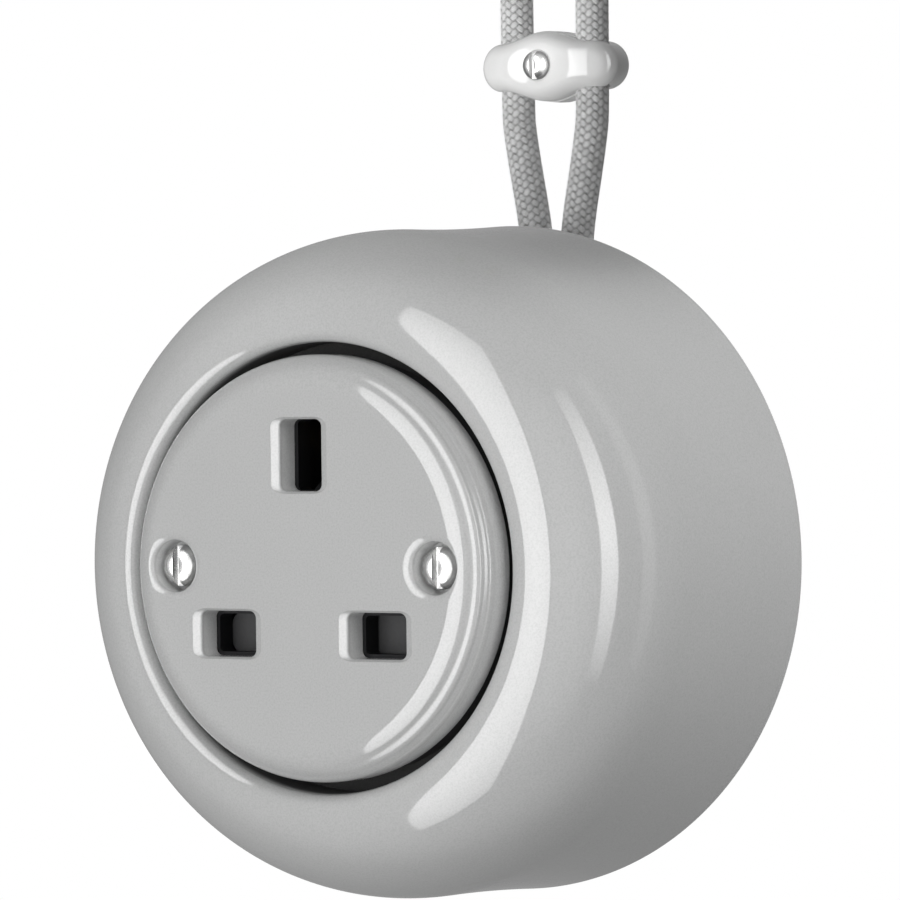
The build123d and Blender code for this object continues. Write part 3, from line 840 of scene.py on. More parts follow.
@dataclass
class Housing:
    """The porcelain cup: foot, swept rear, waist, shoulder, lip, ledge and cavity."""

    steps: int = 288
    foot_r: float = 31.5
    foot_soft: Triple = (0.4, 0.12, 0.06)
    rear: Triple = (43.2, 12.0, 4.0)  # radius and w of the widest edge, its rounding
    sweep: float = 23.4
    meet: float = 36.0
    waist: Pair = (42.4, 36.6)  # radius, w
    shoulder: Pair = (10.9, 6.7)  # pull of its curve upwards and outwards
    crest: Pair = (30.2, 56.0)  # radius, w
    lip: float = 1.8
    bore_r: float = 28.15
    ledge: Triple = (25.0, 48.0, 44.0)  # radius, w of its top and underside
    cavity: Triple = (37.0, 8.0, 9.0)  # radius, rounding at the front and at the floor
    floor_w: float = 5.5
    wall_hole: Pair = (2.25, 18.0)  # radius, distance from the axis
    pillars: Pair = (14.5, 11.0)  # places across and up
    pillar_hole: Triple = (3.3, 3.4, 1.9)  # radius and depth of its sink, radius
    notch: Quad = (11.6, 6.9, 12.0, 50.0)  # width, depth, lower and upper end
    notch_corner: float = 2.6

    def section(self) -> list[Pair]:
        """The closed section from the foot, round the outside and back through the cavity.

        Returns:
            The section's points.
        """
        rear_r, rear_w, edge = self.rear
        waist_r, waist_w = self.waist
        crest_r, crest_w = self.crest
        ledge_r, ledge_w, under = self.ledge
        deep, top, low = self.cavity
        c1 = (rear_r - edge, rear_w)
        a = math.radians(self.meet)
        c2 = (c1[0] + (edge - self.sweep) * math.cos(a), c1[1] - (edge - self.sweep) * math.sin(a))
        stop = math.degrees(math.acos((self.foot_r - c2[0]) / self.sweep))
        side = (self.rear[:2], (waist_r, (rear_w + waist_w) / 2), self.waist)
        rise, reach = self.shoulder
        shoulder = (self.waist, (waist_r, waist_w + rise), (crest_r + reach, crest_w), self.crest)
        flat, soft, lift = self.foot_soft
        line = [(0.0, 0.0), (self.foot_r - flat, 0.0), (self.foot_r - soft, lift)]
        line += arc(*c2, self.sweep, -stop, -self.meet, 16)
        line += arc(*c1, edge, -self.meet, 0, 12)[1:]
        line += bezier(side, 14)[1:]
        line += bezier(shoulder, 40)[1:]
        line += arc(self.bore_r + self.lip, crest_w - self.lip, self.lip, 90, 180, 20)
        line += [(self.bore_r, ledge_w), (ledge_r, ledge_w), (ledge_r, under)]
        line += arc(deep - top, under - top, top, 90, 0, 6)
        line += arc(deep - low, self.floor_w + low, low, 0, -90, 6)
        return line + [(0.0, self.floor_w)]

    def notch_ring(self, z: float) -> list[Vector]:
        """The notch's cross-section: open to the wall, round at its front corners.

        Args:
            z: Its height.

        Returns:
            The ring's points.
        """
        wide, deep = self.notch[:2]
        r, n = self.notch_corner, 8
        left, right = LAY.middle - wide / 2, LAY.middle + wide / 2
        ring = [Vector((left, 1.0, z)), Vector((right, 1.0, z))]
        for cx, start in ((right - r, 0), (left + r, 90)):
            for k in range(n + 1):
                a = math.radians(start + 90 * k / n)
                ring.append(Vector((cx + r * math.cos(a), -(deep - r) - r * math.sin(a), z)))
        return ring

    def build(self, wardrobe: Wardrobe) -> None:
        """Turn the cup, cut its cable notch and its holes, and dress it.

        Args:
            wardrobe: Dresses the cup.
        """
        cup = turned(self.section(), self.steps)
        tools = [lofted([self.notch_ring(z) for z in self.notch[2:]])]
        low, high = -1, self.floor_w + 1
        hole_r, hole_x = self.wall_hole
        px, pz = self.pillars
        head_r, head_w, r = self.pillar_hole
        stepped = [(0, low), (head_r, low), (head_r, head_w), (r, head_w), (r, high), (0, high)]
        for side in (-1, 1):
            tools.append(rod(hole_r, low, high, 32, (side * hole_x, 0.0)))
            tools.append(turned(stepped, 32, (side * px, pz)))
        carved(cup, joined(tools))
        smoothed(cup, 32)
        wardrobe.dress(cup, "housing_glazed", Slot.PORCELAIN, "housing")


@dataclass
class FaceDisc:
    """The face: a shallow turned cup with three soft slots and two screw recesses.

    A ripple is the place, half width and greatest tilt of one ring of turning, in degrees of the edge.
    """

    radius: float = 26.6
    face_w: float = 60.0
    thick: float = 3.6
    edge: float = 4.4
    flat: float = 0.25
    rim: Pair = (7.1, 0.7)  # depth below the face, step inwards
    rim_soft: Pair = (0.15, 0.1)
    bevel: float = 1.0
    steps: int = 288
    ripples: tuple[Triple, ...] = (
        (34.5, 7.0, 17.0),
        (45.5, 7.5, -27.0),
        (57.0, 5.5, 16.0),
        (66.0, 2.5, -3.0),
        (71.8, 3.0, -10.0),
        (81.0, 6.0, 5.0),
    )
    ripple_ends: Pair = (45.0, 85.0)  # bearings from the right where they are full and gone
    ledge_w: float = 48.0
    skirt_r: float = 24.2
    slots: tuple[Quad, ...] = (  # middle across and up, width, height
        (0.15, 14.125, 6.2, 8.9),
        (-11.1125, -8.1, 8.25, 5.7),
        (11.3, -8.1, 8.62, 5.7),
    )
    corner: float = 0.9
    mouth: Pair = (1.12, 0.3)  # widening across and up; its steps are a share of it and a depth
    lower_steps: tuple[Pair, ...] = ((0.0, 0.7), (0.02, 0.55), (0.07, 0.45), (0.16, 0.38), (0.3, 0.325))
    upper_steps: tuple[Pair, ...] = ((0.9, 0.06), (0.97, 0.02), (1.0, 0.0), (1.0, -1.0))
    screws: tuple[Pair, ...] = ((-19.3, 0.3), (19.9, 0.3))
    recess: Triple = (3.3, 1.2, 0.6)  # radius, width and depth of the rounded mouth
    recess_w: float = 56.0
    recess_soft: float = 0.35
    recess_turn: float = 86.0
    hole: Pair = (1.95, 5.0)  # radius, depth
    boss: Triple = (5.0, 3.5, 0.6)  # radius, reach behind the face's back and into it

    def ripple(self, disc: Piece, count: int = 360) -> None:
        """Press the rings of turning into the rounded edge, strongest on the right.

        Args:
            disc: The turned disc.
            count: Steps from the face to the side.
        """
        turn = np.linspace(0.0, 90.0, count + 1)
        tilt = np.zeros(count + 1)
        for centre, half, most in self.ripples:
            share = (turn - centre) / half
            tilt += np.where(np.abs(share) < 1.0, most * np.cos(np.pi / 2 * share) ** 2, 0.0)
        rise = -np.cumsum(np.tan(np.radians(tilt))) * self.edge * math.radians(90 / count)
        rise -= rise[-1] * turn / 90.0
        full, none = self.ripple_ends
        for v in disc.data.vertices:
            x, w, z = v.co.x / MM, -v.co.y / MM, v.co.z / MM
            far, up = math.hypot(x, z) - (self.radius - self.edge), w - (self.face_w - self.edge)
            if far < 0.0 or up < 0.0 or math.hypot(far, up) < self.edge - 0.1:
                continue
            share = min(max((none - abs(math.degrees(math.atan2(z, x)))) / (none - full), 0.0), 1.0)
            depth = float(np.interp(math.degrees(math.atan2(far, up)), turn, rise))
            by = share * share * (3 - 2 * share) * depth / self.edge
            out = far * by / math.hypot(x, z)
            v.co += Vector((x * out, -up * by, z * out)) * MM

    def slot_tool(self, slot: Quad) -> Piece:
        """The cutter of one slot, with a shallow sloping mouth.

        Args:
            slot: Middle across and up, width and height.

        Returns:
            The cutter.
        """
        rings = []
        for share, deep in ((0.0, self.thick + 1.0), *self.lower_steps, *self.upper_steps):
            grow = (self.mouth[0] * share, self.mouth[1] * share)
            rings.append(soft_box(slot, self.corner, self.face_w - deep, grow))
        return lofted(rings)

    def recess_tool(self, place: Pair) -> Piece:
        """The cutter of one screw recess with its hole.

        Args:
            place: Its middle across and up.

        Returns:
            The cutter.
        """
        r, across, deep = self.recess
        floor, soft, top = self.recess_w, self.recess_soft, self.face_w + 1.0
        hole_r, hole_deep = self.hole
        line = [(0.0, floor - hole_deep), (hole_r, floor - hole_deep), (hole_r, floor)]
        line += [(r - soft, floor), (r, floor + soft)]
        turn = [math.radians(self.recess_turn * k / 12) for k in range(13)]
        line += [(r + across * (1 - math.cos(a)), self.face_w - deep * (1 - math.sin(a))) for a in turn]
        return turned(line + [(line[-1][0], top), (0.0, top)], 96, place)

    def build(self, wardrobe: Wardrobe) -> None:
        """Turn the disc, add the bosses, cut slots and recesses, and dress it.

        Args:
            wardrobe: Dresses the disc.
        """
        back = self.face_w - self.thick
        rim_w, neck = self.face_w - self.rim[0], self.radius - self.rim[1]
        inner, skirt, foot = self.radius - self.edge, self.skirt_r, self.ledge_w
        line = [(inner - self.flat, self.face_w)]
        line += arc(inner, self.face_w - self.edge, self.edge, 90, 0, 108)
        line += [(self.radius, rim_w + self.rim_soft[0]), (self.radius - self.rim_soft[1], rim_w)]
        line += [(neck, rim_w), (neck, foot), (skirt + self.bevel, foot), (skirt, foot + self.bevel)]
        line.append((skirt, back))
        disc = turned(line, self.steps)
        self.ripple(disc)
        r, below, above = self.boss
        bosses = [rod(r, back - below, back + above, 48, place) for place in self.screws]
        carved(disc, joined(bosses), "UNION")
        tools = [self.slot_tool(slot) for slot in self.slots]
        tools += [self.recess_tool(place) for place in self.screws]
        carved(disc, joined(tools))
        smoothed(disc, 30, weigh=True)
        wardrobe.dress(disc, "face_disc_glazed", Slot.PORCELAIN, "face_disc")


@dataclass
class SlottedScrew:
    """A round slotted screw, with an optional wood thread and point."""

    x: float
    z: float
    under: float
    radius: float
    height: float
    slot: Pair
    shank: Pair
    dome: float
    thread: Pair | None = None
    point: float = 0.0
    core: float = 0.72
    bevel: float = 0.06
    crown: Pair = (0.5, 0.02)
    soft: float = 0.12
    neck: float = 0.3
    ridge: Triple = (0.1, 0.04, 0.06)  # sunk below the root, short of the shank, half the crest's share

    def outline(self, root: float) -> list[Pair]:
        """Section from the crown's middle to the tip.

        Args:
            root: Radius of the shank below the thread's start.

        Returns:
            The section's points.
        """
        r, top = self.radius, self.under + self.height
        soft = self.height * self.dome
        line = [(0.0, top), ((r - soft) * self.crown[0], top - self.crown[1] * self.height)]
        line += arc(r - soft, top - soft, soft, 80, 0, 16)
        line += [(r, self.under + self.soft), (r - self.soft, self.under), (self.shank[0], self.under)]
        if self.thread:
            line += [(self.shank[0], self.thread[1]), (root, self.thread[1] - self.neck)]
        return line + [(root, self.shank[1]), (0.0, self.shank[1] - self.point)]

    def build(self) -> Piece:
        """Turn the head and shank, cut the slot, soften its edges and add the thread.

        Returns:
            The screw.
        """
        root = self.shank[0] * self.core if self.thread else self.shank[0]
        screw = turned(self.outline(root), 96, (self.x, self.z))
        wide, deep = self.slot
        tall = 4.0
        middle = self.under + self.height - deep + tall / 2
        cut = alone(bpy.ops.mesh.primitive_cube_add, size=1, location=Vector((self.x, -middle, self.z)) * MM)
        cut.scale = Vector((wide, tall, self.radius * 3)) * MM
        carved(screw, settled(cut))
        limit = {"limit_method": "ANGLE", "angle_limit": math.radians(50)}
        applied(screw, "BEVEL", width=self.bevel * MM, segments=2, **limit)
        if self.thread:
            screw = joined([screw, self.helix(root)])
        return smoothed(screw, 35)

    def helix(self, root: float) -> Piece:
        """A ridge that winds round the shank.

        Args:
            root: Radius that it stands on.

        Returns:
            The ridge.
        """
        pitch, high = self.thread
        r, low = self.shank
        sunk, short, crest = self.ridge
        shape = ((root - sunk, -0.4), (r - short, -crest), (r - short, crest), (root - sunk, 0.4))
        ridge = wound([Vector((px, 0, pz * pitch)) for px, pz in shape], pitch, int((high - low) / pitch), 28)
        place = Matrix.Translation(Vector((self.x, -low, self.z)) * MM)
        ridge.matrix_world = place @ Matrix.Rotation(math.pi / 2, 4, "X")
        return settled(ridge)


@dataclass
class Fixings:
    """The two face screws, in the disc's recesses."""

    places: tuple[Pair, ...] = FaceDisc.screws
    under: float = FaceDisc.recess_w
    head: Pair = (2.65, 3.5)  # radius, height
    slot: Pair = (0.95, 1.2)
    shank: Pair = (1.7, 45.0)
    dome: float = 0.5

    def build(self, wardrobe: Wardrobe) -> None:
        """Make both screws as one piece.

        Args:
            wardrobe: Dresses the screws.
        """
        shape = (self.under, *self.head, self.slot, self.shank, self.dome)
        pair = [SlottedScrew(*place, *shape).build() for place in self.places]
        wardrobe.dress(joined(pair), "face_screws_plated", Slot.PLATED, "face_screws")


@dataclass
class Clamp:
    """The porcelain cable clamp: two halves and a wood screw.

    The boss and the dish are half width, half height, depth and the power of their slopes.
    """

    x: float = 2.4
    z: float = 64.2
    long: Pair = (20.6, 19.4)  # front, rear
    end: float = 6.3
    mid: float = 9.3
    bulge: float = 7.0
    bunch: float = 0.8
    swell: float = 1.2
    split: Pair = (4.0, 4.4)  # w of the rear half's top and the front half's back
    front_w: float = 8.1
    fall: Pair = (4.6, 16.0)  # where the ends begin to fall, how slowly
    arch: float = 14.0
    edge: float = 1.6
    boss: Quad = (6.6, 5.0, 1.4, 4.0)
    dish: Quad = (5.0, 3.0, 1.6, 2.5)
    blend: tuple[float, ...] = (0.16, 0.32, 0.46, 0.6, 0.72, 0.84, 0.94, 1.0)
    seat: Pair = (2.04, 7.9)  # radius, w
    seat_soft: Pair = (0.06, 0.05)  # at its lip, at its floor
    hole: Triple = (1.3, 0.3, 0.04)  # radius, flat round it, rounding
    soft: float = 0.12
    rear_edge: float = 1.3
    rear_turn: tuple[int, ...] = (0, 11, 22, 34, 45, 56, 68, 79, 90)
    channel: Pair = (2.28, 9.0)  # radius, half length
    screw: Pair = (1.88, 1.6)  # head's radius and height
    screw_slot: Pair = (0.76, 0.85)  # width, depth
    screw_shank: Pair = (1.2, -7.5)  # radius, w of its end
    screw_dome: float = 0.8
    screw_thread: Pair = (0.95, 0.2)  # pitch, w of its start
    screw_point: float = 3.0
    count: int = 96

    def outline(self, long: float) -> list[Pair]:
        """The outline about the clamp's own middle: round ends and a swelling middle.

        Args:
            long: Its length.

        Returns:
            The outline's points.
        """
        r, reach = self.end / 2, long / 2
        ring = []
        for k in range(self.count):
            a = 2 * math.pi * (k + 0.5) / self.count
            x = reach * math.copysign(abs(math.cos(a)) ** self.bunch, math.cos(a))
            share = 0.5 + 0.5 * math.cos(math.pi * min(abs(x) / self.bulge, 1.0))
            swell = (self.mid / 2 - r) * share**self.swell
            inner = max(abs(x) - (reach - r), 0.0)
            ring.append((x, math.copysign(math.sqrt(max(r * r - inner * inner, 0.0)) + swell, math.sin(a))))
        return ring

    def inset(self, ring: Sequence[Pair], by: float) -> list[Pair]:
        """The outline moved inwards along its own normals.

        Args:
            ring: The outline.
            by: How far it moves.

        Returns:
            The moved outline.
        """
        out = []
        for (ax, az), (x, z), (bx, bz) in zip(ring[-1:] + ring[:-1], ring, ring[1:] + ring[:1]):
            n = Vector((bz - az, ax - bx)).normalized()
            out.append((x - n.x * by, z - n.y * by))
        return out

    def round(self, r: float) -> list[Pair]:
        """A circle with points at the outline's own bearings."""
        outline = self.outline(self.long[0])
        return [(px * r / math.hypot(px, pz), pz * r / math.hypot(px, pz)) for px, pz in outline]

    def level(self, pairs: Sequence[Pair], w: float) -> list[Vector]:
        """Pairs about the clamp's middle, all at one distance from the wall."""
        return [Vector((self.x + px, -w, self.z + pz)) for px, pz in pairs]

    def skin(self, pairs: Sequence[Pair], down: float = 0.0) -> list[Vector]:
        """Pairs about the clamp's middle, on its front or some way below it."""
        return [Vector((self.x + px, down - self.crown(px, pz), self.z + pz)) for px, pz in pairs]

    def crown(self, px: float, pz: float) -> float:
        """Height of the front: it falls to the ends and edges and swells round a shallow dish.

        Args:
            px: Place across from the clamp's middle.
            pz: Place up from it.

        Returns:
            The distance from the wall.
        """
        start, curve = self.fall
        low = self.front_w - max(abs(px) - start, 0.0) ** 2 / curve - pz * pz / self.arch
        for sign, (wide, high, deep, power) in ((1, self.boss), (-1, self.dish)):
            low += sign * deep * math.exp(-(math.hypot(px / wide, pz / high) ** power))
        return low

    def channels(self) -> Piece:
        """The two round channels as one cutter.

        Returns:
            The cutter.
        """
        r, reach = self.channel
        low, high = self.z - reach, self.z + reach
        places = [(LAY.middle + side * LAY.apart, -LAY.wall) for side in (-1, 1)]
        return joined([rod(r, low, high, 48, place, True) for place in places])

    def front(self) -> Piece:
        """The front half: a skin of rings, smoothed by subdivision, with its dish and channels.

        Returns:
            The half.
        """
        low, edge = self.split[1], self.outline(self.long[0])
        turn = [math.radians(90 - 18 * k) for k in range(6)]
        (r, w), (bore, flat, soft) = self.seat, self.hole
        lip, fillet = self.seat_soft
        rings = [self.level(self.inset(edge, self.soft), low), self.level(edge, low + self.soft)]
        for a in turn:
            side = self.inset(edge, self.edge * (1 - math.sin(a)))
            rings.append(self.skin(side, self.edge * (1 - math.cos(a))))
        ends = list(zip(side, self.round(r + lip)))
        for t in self.blend:
            rings.append(self.skin([(ax + (bx - ax) * t, az + (bz - az) * t) for (ax, az), (bx, bz) in ends]))
        rings.append(self.skin(self.round(r), lip))
        seat = ((r, w + fillet), (r - fillet, w), (bore + flat, w), (bore + soft, w - soft))
        hole = ((bore, w - flat), (bore, low + 0.1))
        rings += [self.level(self.round(r), w) for r, w in (*seat, *hole)]
        half = applied(lofted(rings), "SUBSURF", levels=2, render_levels=2)
        return smoothed(carved(half, self.channels()), 40)

    def rear(self) -> Piece:
        """The rear half: flat to the wall, with a soft edge and the channels.

        Returns:
            The half.
        """
        high, edge = self.split[0], self.outline(self.long[1])
        rings = []
        for a in map(math.radians, self.rear_turn):
            inset = self.inset(edge, self.rear_edge * (1 - math.sin(a)))
            rings.append(self.level(inset, self.rear_edge * (1 - math.cos(a))))
        rings += [self.level(edge, high - self.soft), self.level(self.inset(edge, self.soft), high)]
        half = carved(lofted(rings), self.channels())
        hole = rod(self.hole[0] + 0.05, -1, 6, 32, (self.x, self.z))
        return smoothed(carved(half, hole), 40)

    def build(self, wardrobe: Wardrobe) -> None:
        """Make both halves and the screw.

        Args:
            wardrobe: Dresses the pieces.
        """
        wardrobe.dress(self.front(), "clamp_front_glazed", Slot.WHITE, "clamp_front")
        wardrobe.dress(self.rear(), "clamp_rear_glazed", Slot.WHITE, "clamp_rear")
        tail = (self.screw_shank, self.screw_dome, self.screw_thread, self.screw_point)
        screw = SlottedScrew(self.x, self.z, self.seat[1], *self.screw, self.screw_slot, *tail).build()
        wardrobe.dress(screw, "clamp_screw_plated", Slot.PLATED, "clamp_screw")


@dataclass
class Cable:
    """One braided cable: a tube whose skin is a plain braid along its route."""

    name: str
    node: str
    side: int
    route: tuple[Pair, ...] = ((2.4, 26.0), (2.4, 38.8), (5.45, 54.6), (5.87, 59.2), (5.87, 90.0))
    leave: Pair = (2.6, 37.0)  # out from the middle, up
    columns: int = 16
    pitch: float = 1.06
    around: int = 10
    along: int = 9
    strand: float = 0.24
    wave: float = 0.07
    half: float = 0.515
    bend: float = 0.5
    groove: Pair = (0.11, 0.045)  # depth between strands, softness

    def centreline(self) -> np.ndarray:
        """Points of the route's spline, evenly spaced.

        Returns:
            The points in metres.
        """
        curve = bpy.data.curves.new(self.name + "_route", "CURVE")
        curve.dimensions = "3D"
        curve.resolution_u = 48
        spline = curve.splines.new("NURBS")
        spline.points.add(len(self.route) - 1)
        for point, (dx, z) in zip(spline.points, self.route):
            point.co = ((LAY.middle + self.side * dx) * MM, -LAY.wall * MM, z * MM, 1.0)
        spline.order_u = 3
        spline.use_endpoint_u = True
        holder = placed(self.name + "_route", curve)
        bpy.context.view_layer.update()
        mesh = bpy.data.meshes.new_from_object(holder.evaluated_get(bpy.context.evaluated_depsgraph_get()))
        line = np.array([v.co for v in mesh.vertices])
        bpy.data.objects.remove(holder)
        bpy.data.meshes.remove(mesh)
        far = np.concatenate(([0.0], np.cumsum(np.linalg.norm(np.diff(line, axis=0), axis=1))))
        even = np.linspace(0.0, far[-1], int(far[-1] / MM / self.pitch * self.along) + 1)
        return np.stack([np.interp(even, far, line[:, k]) for k in range(3)], axis=1)

    def weave(self, u: np.ndarray, v: np.ndarray) -> tuple[np.ndarray, np.ndarray, np.ndarray, np.ndarray]:
        """Height of the braid over its lattice.

        Args:
            u: Column number round the cable.
            v: Row number along the cable.

        Returns:
            Height in millimetres, strand number, and place along and across the upper strand.
        """
        ways = {1: v - u / 2, -1: v + u / 2}
        both = []
        for lean in (1, -1):
            number = np.round(ways[lean])
            across = ways[lean] - number
            body = np.clip(1 - np.abs(across / self.half) ** 4, 0, 1) ** 0.5
            sway = np.cos(np.pi * (ways[-lean] - number - self.bend * across))
            height = lean * self.wave * sway + self.strand * body
            both.append([height, number * 2 + (lean < 0), ways[-lean], across])
        deep, soft = self.groove
        height, *rest = [np.where(both[0][0] > both[1][0], a, b) for a, b in zip(*both)]
        clear = np.clip(np.abs(both[0][0] - both[1][0]) / soft, 0, 1)
        return height - deep * (1 - clear * clear * (3 - 2 * clear)), *rest

    def skin(self, line: np.ndarray) -> tuple[np.ndarray, dict[str, np.ndarray], np.ndarray]:
        """Points of the braid round the route, with what its finish reads.

        Args:
            line: Points of the route.

        Returns:
            Points by row and column, their named values, and their places along and across the strands.
        """
        tangent = np.gradient(line, axis=0)
        tangent /= np.linalg.norm(tangent, axis=1)[:, None]
        back = np.array([0.0, 1.0, 0.0])
        cols = self.columns * self.around
        turn = np.arange(cols) / cols
        u, v = np.meshgrid(turn * self.columns, np.arange(len(line)) / self.along)
        height, number, on, over = self.weave(u, v)
        top = self.strand + self.wave
        radius = (LAY.diameter / 2 - top + height) * MM
        angle = 2 * np.pi * turn[None, :, None]
        ring = np.cos(angle) * back[None, None, :] + np.sin(angle) * np.cross(back, tangent)[:, None, :]
        tone = (np.sin(number * 12.9898 + self.side) * 43758.5453) % 1.0
        # lift, the braid's height, drives its painted shade; shade is a random tone for each strand.
        values = {"lift": height / top, "shade": tone}
        return line[:, None, :] + radius[..., None] * ring, values, np.stack([on, over], axis=-1)

    def build(self, wardrobe: Wardrobe, extras: Sequence[Piece]) -> None:
        """Args:
            wardrobe: Dresses the tube.
            extras: Pieces at the cable's end; not used.
        """
        path = self.centreline()
        points, values, places = self.skin(path)
        rows, cols = points.shape[:2]
        j, i = np.meshgrid(np.arange(cols), np.arange(rows - 1))
        a, b = i * cols + j, i * cols + (j + 1) % cols
        faces = np.stack([a, b, b + cols, a + cols], axis=-1).reshape(-1, 4).tolist()
        faces += [list(range(cols))[::-1], list(range((rows - 1) * cols, rows * cols))]
        mesh = bpy.data.meshes.new(self.name)
        mesh.from_pydata(points.reshape(-1, 3).tolist(), [], faces)
        for title, value in values.items():
            layer = mesh.attributes.new(title, "FLOAT", "POINT")
            layer.data.foreach_set("value", value.ravel().astype(np.float32))
        corner = np.empty(len(mesh.loops), dtype=np.int32)
        mesh.loops.foreach_get("vertex_index", corner)
        yarn = places.reshape(-1, 2)[corner].ravel().astype(np.float32)
        mesh.uv_layers.new(name="yarn").data.foreach_set("uv", yarn)
        tube = placed(self.name, mesh)
        pick(tube)
        smoothed(sealed(), 24)
        wardrobe.dress(tube, self.name, Slot.BRAID, self.node)


@dataclass
class CableEnds:
    """Sleeves and twisted bare tips at the cables' upper ends."""

    sleeve: Quad = (2.25, 2.65, 86.0, 90.6)  # inner and outer radius, lower and upper end
    pack_r: float = 1.06
    bearings: Triple = (90.0, -30.0, 210.0)
    tip: Triple = (0.45, 99.0, 104.0)  # radius, lower and upper end
    wind: float = 0.64
    twist: float = 237.6
    steps: int = 12
    sides: int = 8

    def sleeve_at(self, x: float) -> Piece:
        """One shrunk sleeve with soft rims and a slight waist.

        Args:
            x: Its axis across.

        Returns:
            The sleeve.
        """
        inner, outer, low, high = self.sleeve
        line = [(inner, low), (outer - 0.12, low), (outer, low + 0.15), (outer - 0.06, (low + high) / 2)]
        line += [(outer, high - 0.3), (outer - 0.2, high), (inner, high), (inner, low)]
        return smoothed(turned(line, 64, (x, -LAY.wall), True), 40)

    def strand(self, x: float, y: float, turn: float, radius: float) -> Piece:
        """One wire of a tip, wound round the tip's axis.

        Args:
            x: The axis across.
            y: The axis along the wall's normal.
            turn: Where the wire starts, in radians.
            radius: Its distance from the axis.

        Returns:
            The wire.
        """
        r, low, high = self.tip
        thin = r / 3
        bearings = [2 * math.pi * i / self.sides for i in range(self.sides)]
        rings = []
        for share in (k / self.steps for k in range(self.steps + 1)):
            a = turn + math.radians(self.twist) * share
            cx, cy, cz = x + radius * math.cos(a), y + radius * math.sin(a), low + (high - low) * share
            rings.append([Vector((cx + thin * math.cos(b), cy + thin * math.sin(b), cz)) for b in bearings])
        return lofted(rings)

    def build(self, wardrobe: Wardrobe) -> list[Piece]:
        """Make the sleeves and the tips.

        Args:
            wardrobe: Dresses the pieces.

        Returns:
            All pieces at the cables' ends, the frame's tails among them.
        """
        centres = [LAY.middle + side * LAY.apart for side in (-1, 1)]
        sleeves = joined([self.sleeve_at(x) for x in centres])
        wardrobe.dress(sleeves, "end_sleeves_shrunk", Slot.SLEEVE, "end_sleeves")
        wires = []
        for x in centres:
            for a in map(math.radians, self.bearings):
                axis = (x + self.pack_r * math.cos(a), -(LAY.wall + self.pack_r * math.sin(a)))
                wires.append(self.strand(*axis, 0.0, 0.0))
                wires += [self.strand(*axis, math.pi / 3 * k, self.tip[0] * self.wind) for k in range(6)]
        tips = smoothed(joined(wires), 50)
        wardrobe.dress(tips, "tail_tips_twisted", Slot.COPPER, "tail_tips")
        return [sleeves, tips, *(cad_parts[core + "_tails"] for core in ("live", "neutral", "earth"))]


@dataclass
class ShutterSpring:
    """The return spring under the shutter."""

    w: float = 52.3
    low: float = -21.4
    high: float = -10.9
    coil_r: float = 1.05
    wire_r: float = 0.18
    sides: int = 10
    turns: int = 7
    gap: float = 0.03
    travel: float = 4.9

    def build(self, wardrobe: Wardrobe) -> None:
        """Wind the wire, dress it and tie it to the socket's body.

        Args:
            wardrobe: Dresses the spring.
        """
        rest = self.high - self.low
        rise = rest - 2 * (self.wire_r + self.gap)
        turn = [math.pi / 2 + 2 * math.pi * k / self.sides for k in range(self.sides)]
        ring = [Vector((self.coil_r + self.wire_r * math.cos(a), 0, self.wire_r * math.sin(a))) for a in turn]
        wire = wound(ring, rise / self.turns, self.turns, 24)
        wire.location = Vector((0, -self.w, self.low + self.wire_r + self.gap)) * MM
        smoothed(wire, 50)
        wardrobe.dress(wire, "shutter_spring_wound", Slot.SPRING, "shutter_spring")
        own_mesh(wire)


@dataclass
class Insides:
    """Frame nodes that stay in view with a finish of their own."""

    cores: dict[Slot, str] = field(
        default_factory=lambda: {Slot.LIVE: "live", Slot.NEUTRAL: "neutral", Slot.EARTH: "earth"}
    )
    nodes: dict[Slot, tuple[str, ...]] = field(
        default_factory=lambda: {
            Slot.BLACK: ("insert_cover", "insert_base"),
            Slot.SHUTTER: ("shutter",),
            Slot.BRASS: ("face_bushes", "pillars"),
            Slot.PLATED: ("pillar_screws", "insert_screws", "terminal_screws"),
            Slot.COPPER: ("core_ends",),
        }
    )

    def build(self, wardrobe: Wardrobe) -> None:
        """Dress every node.

        Args:
            wardrobe: Dresses the nodes.
        """
        for slot, names in self.nodes.items():
            wardrobe.dress_nodes(slot, *names)
        for slot, core in self.cores.items():
            wardrobe.dress_nodes(Slot.BRASS, core + "_contact", core + "_terminal")
            wardrobe.dress_nodes(slot, core + "_cores", core + "_tails")


# Studio


@dataclass(frozen=True)
class Lamp:
    """A soft area light, placed by its bearing from the face's normal."""

    name: str
    azimuth: float
    elevation: float
    distance: float
    wide: float
    high: float
    radiance: float
    spread: float = 180.0
    diffuse: bool = True
    glossy: bool = True
    aim: Triple = (0.0, -0.04, 0.0)

    def build(self) -> None:
        """Add the light and aim it at the object."""
        light = bpy.data.lights.new(self.name, "AREA")
        light.shape = "RECTANGLE"
        light.size, light.size_y = self.wide, self.high
        half = math.radians(self.spread) / 2
        gain = math.tan(half) / (math.tan(half) - half) if self.spread < 179 else 1.0
        light.spread = 2 * half
        light.energy = self.radiance * math.pi * self.wide * self.high / gain
        a, e = math.radians(self.azimuth), math.radians(self.elevation)
        way = Vector((math.sin(a) * math.cos(e), -math.cos(a) * math.cos(e), math.sin(e)))
        lamp = placed(self.name, light)
        lamp.location = way * self.distance + Vector(self.aim)
        lamp.rotation_euler = way.to_track_quat("Z", "Y").to_euler()
        lamp.visible_camera = False
        lamp.visible_diffuse, lamp.visible_glossy = self.diffuse, self.glossy


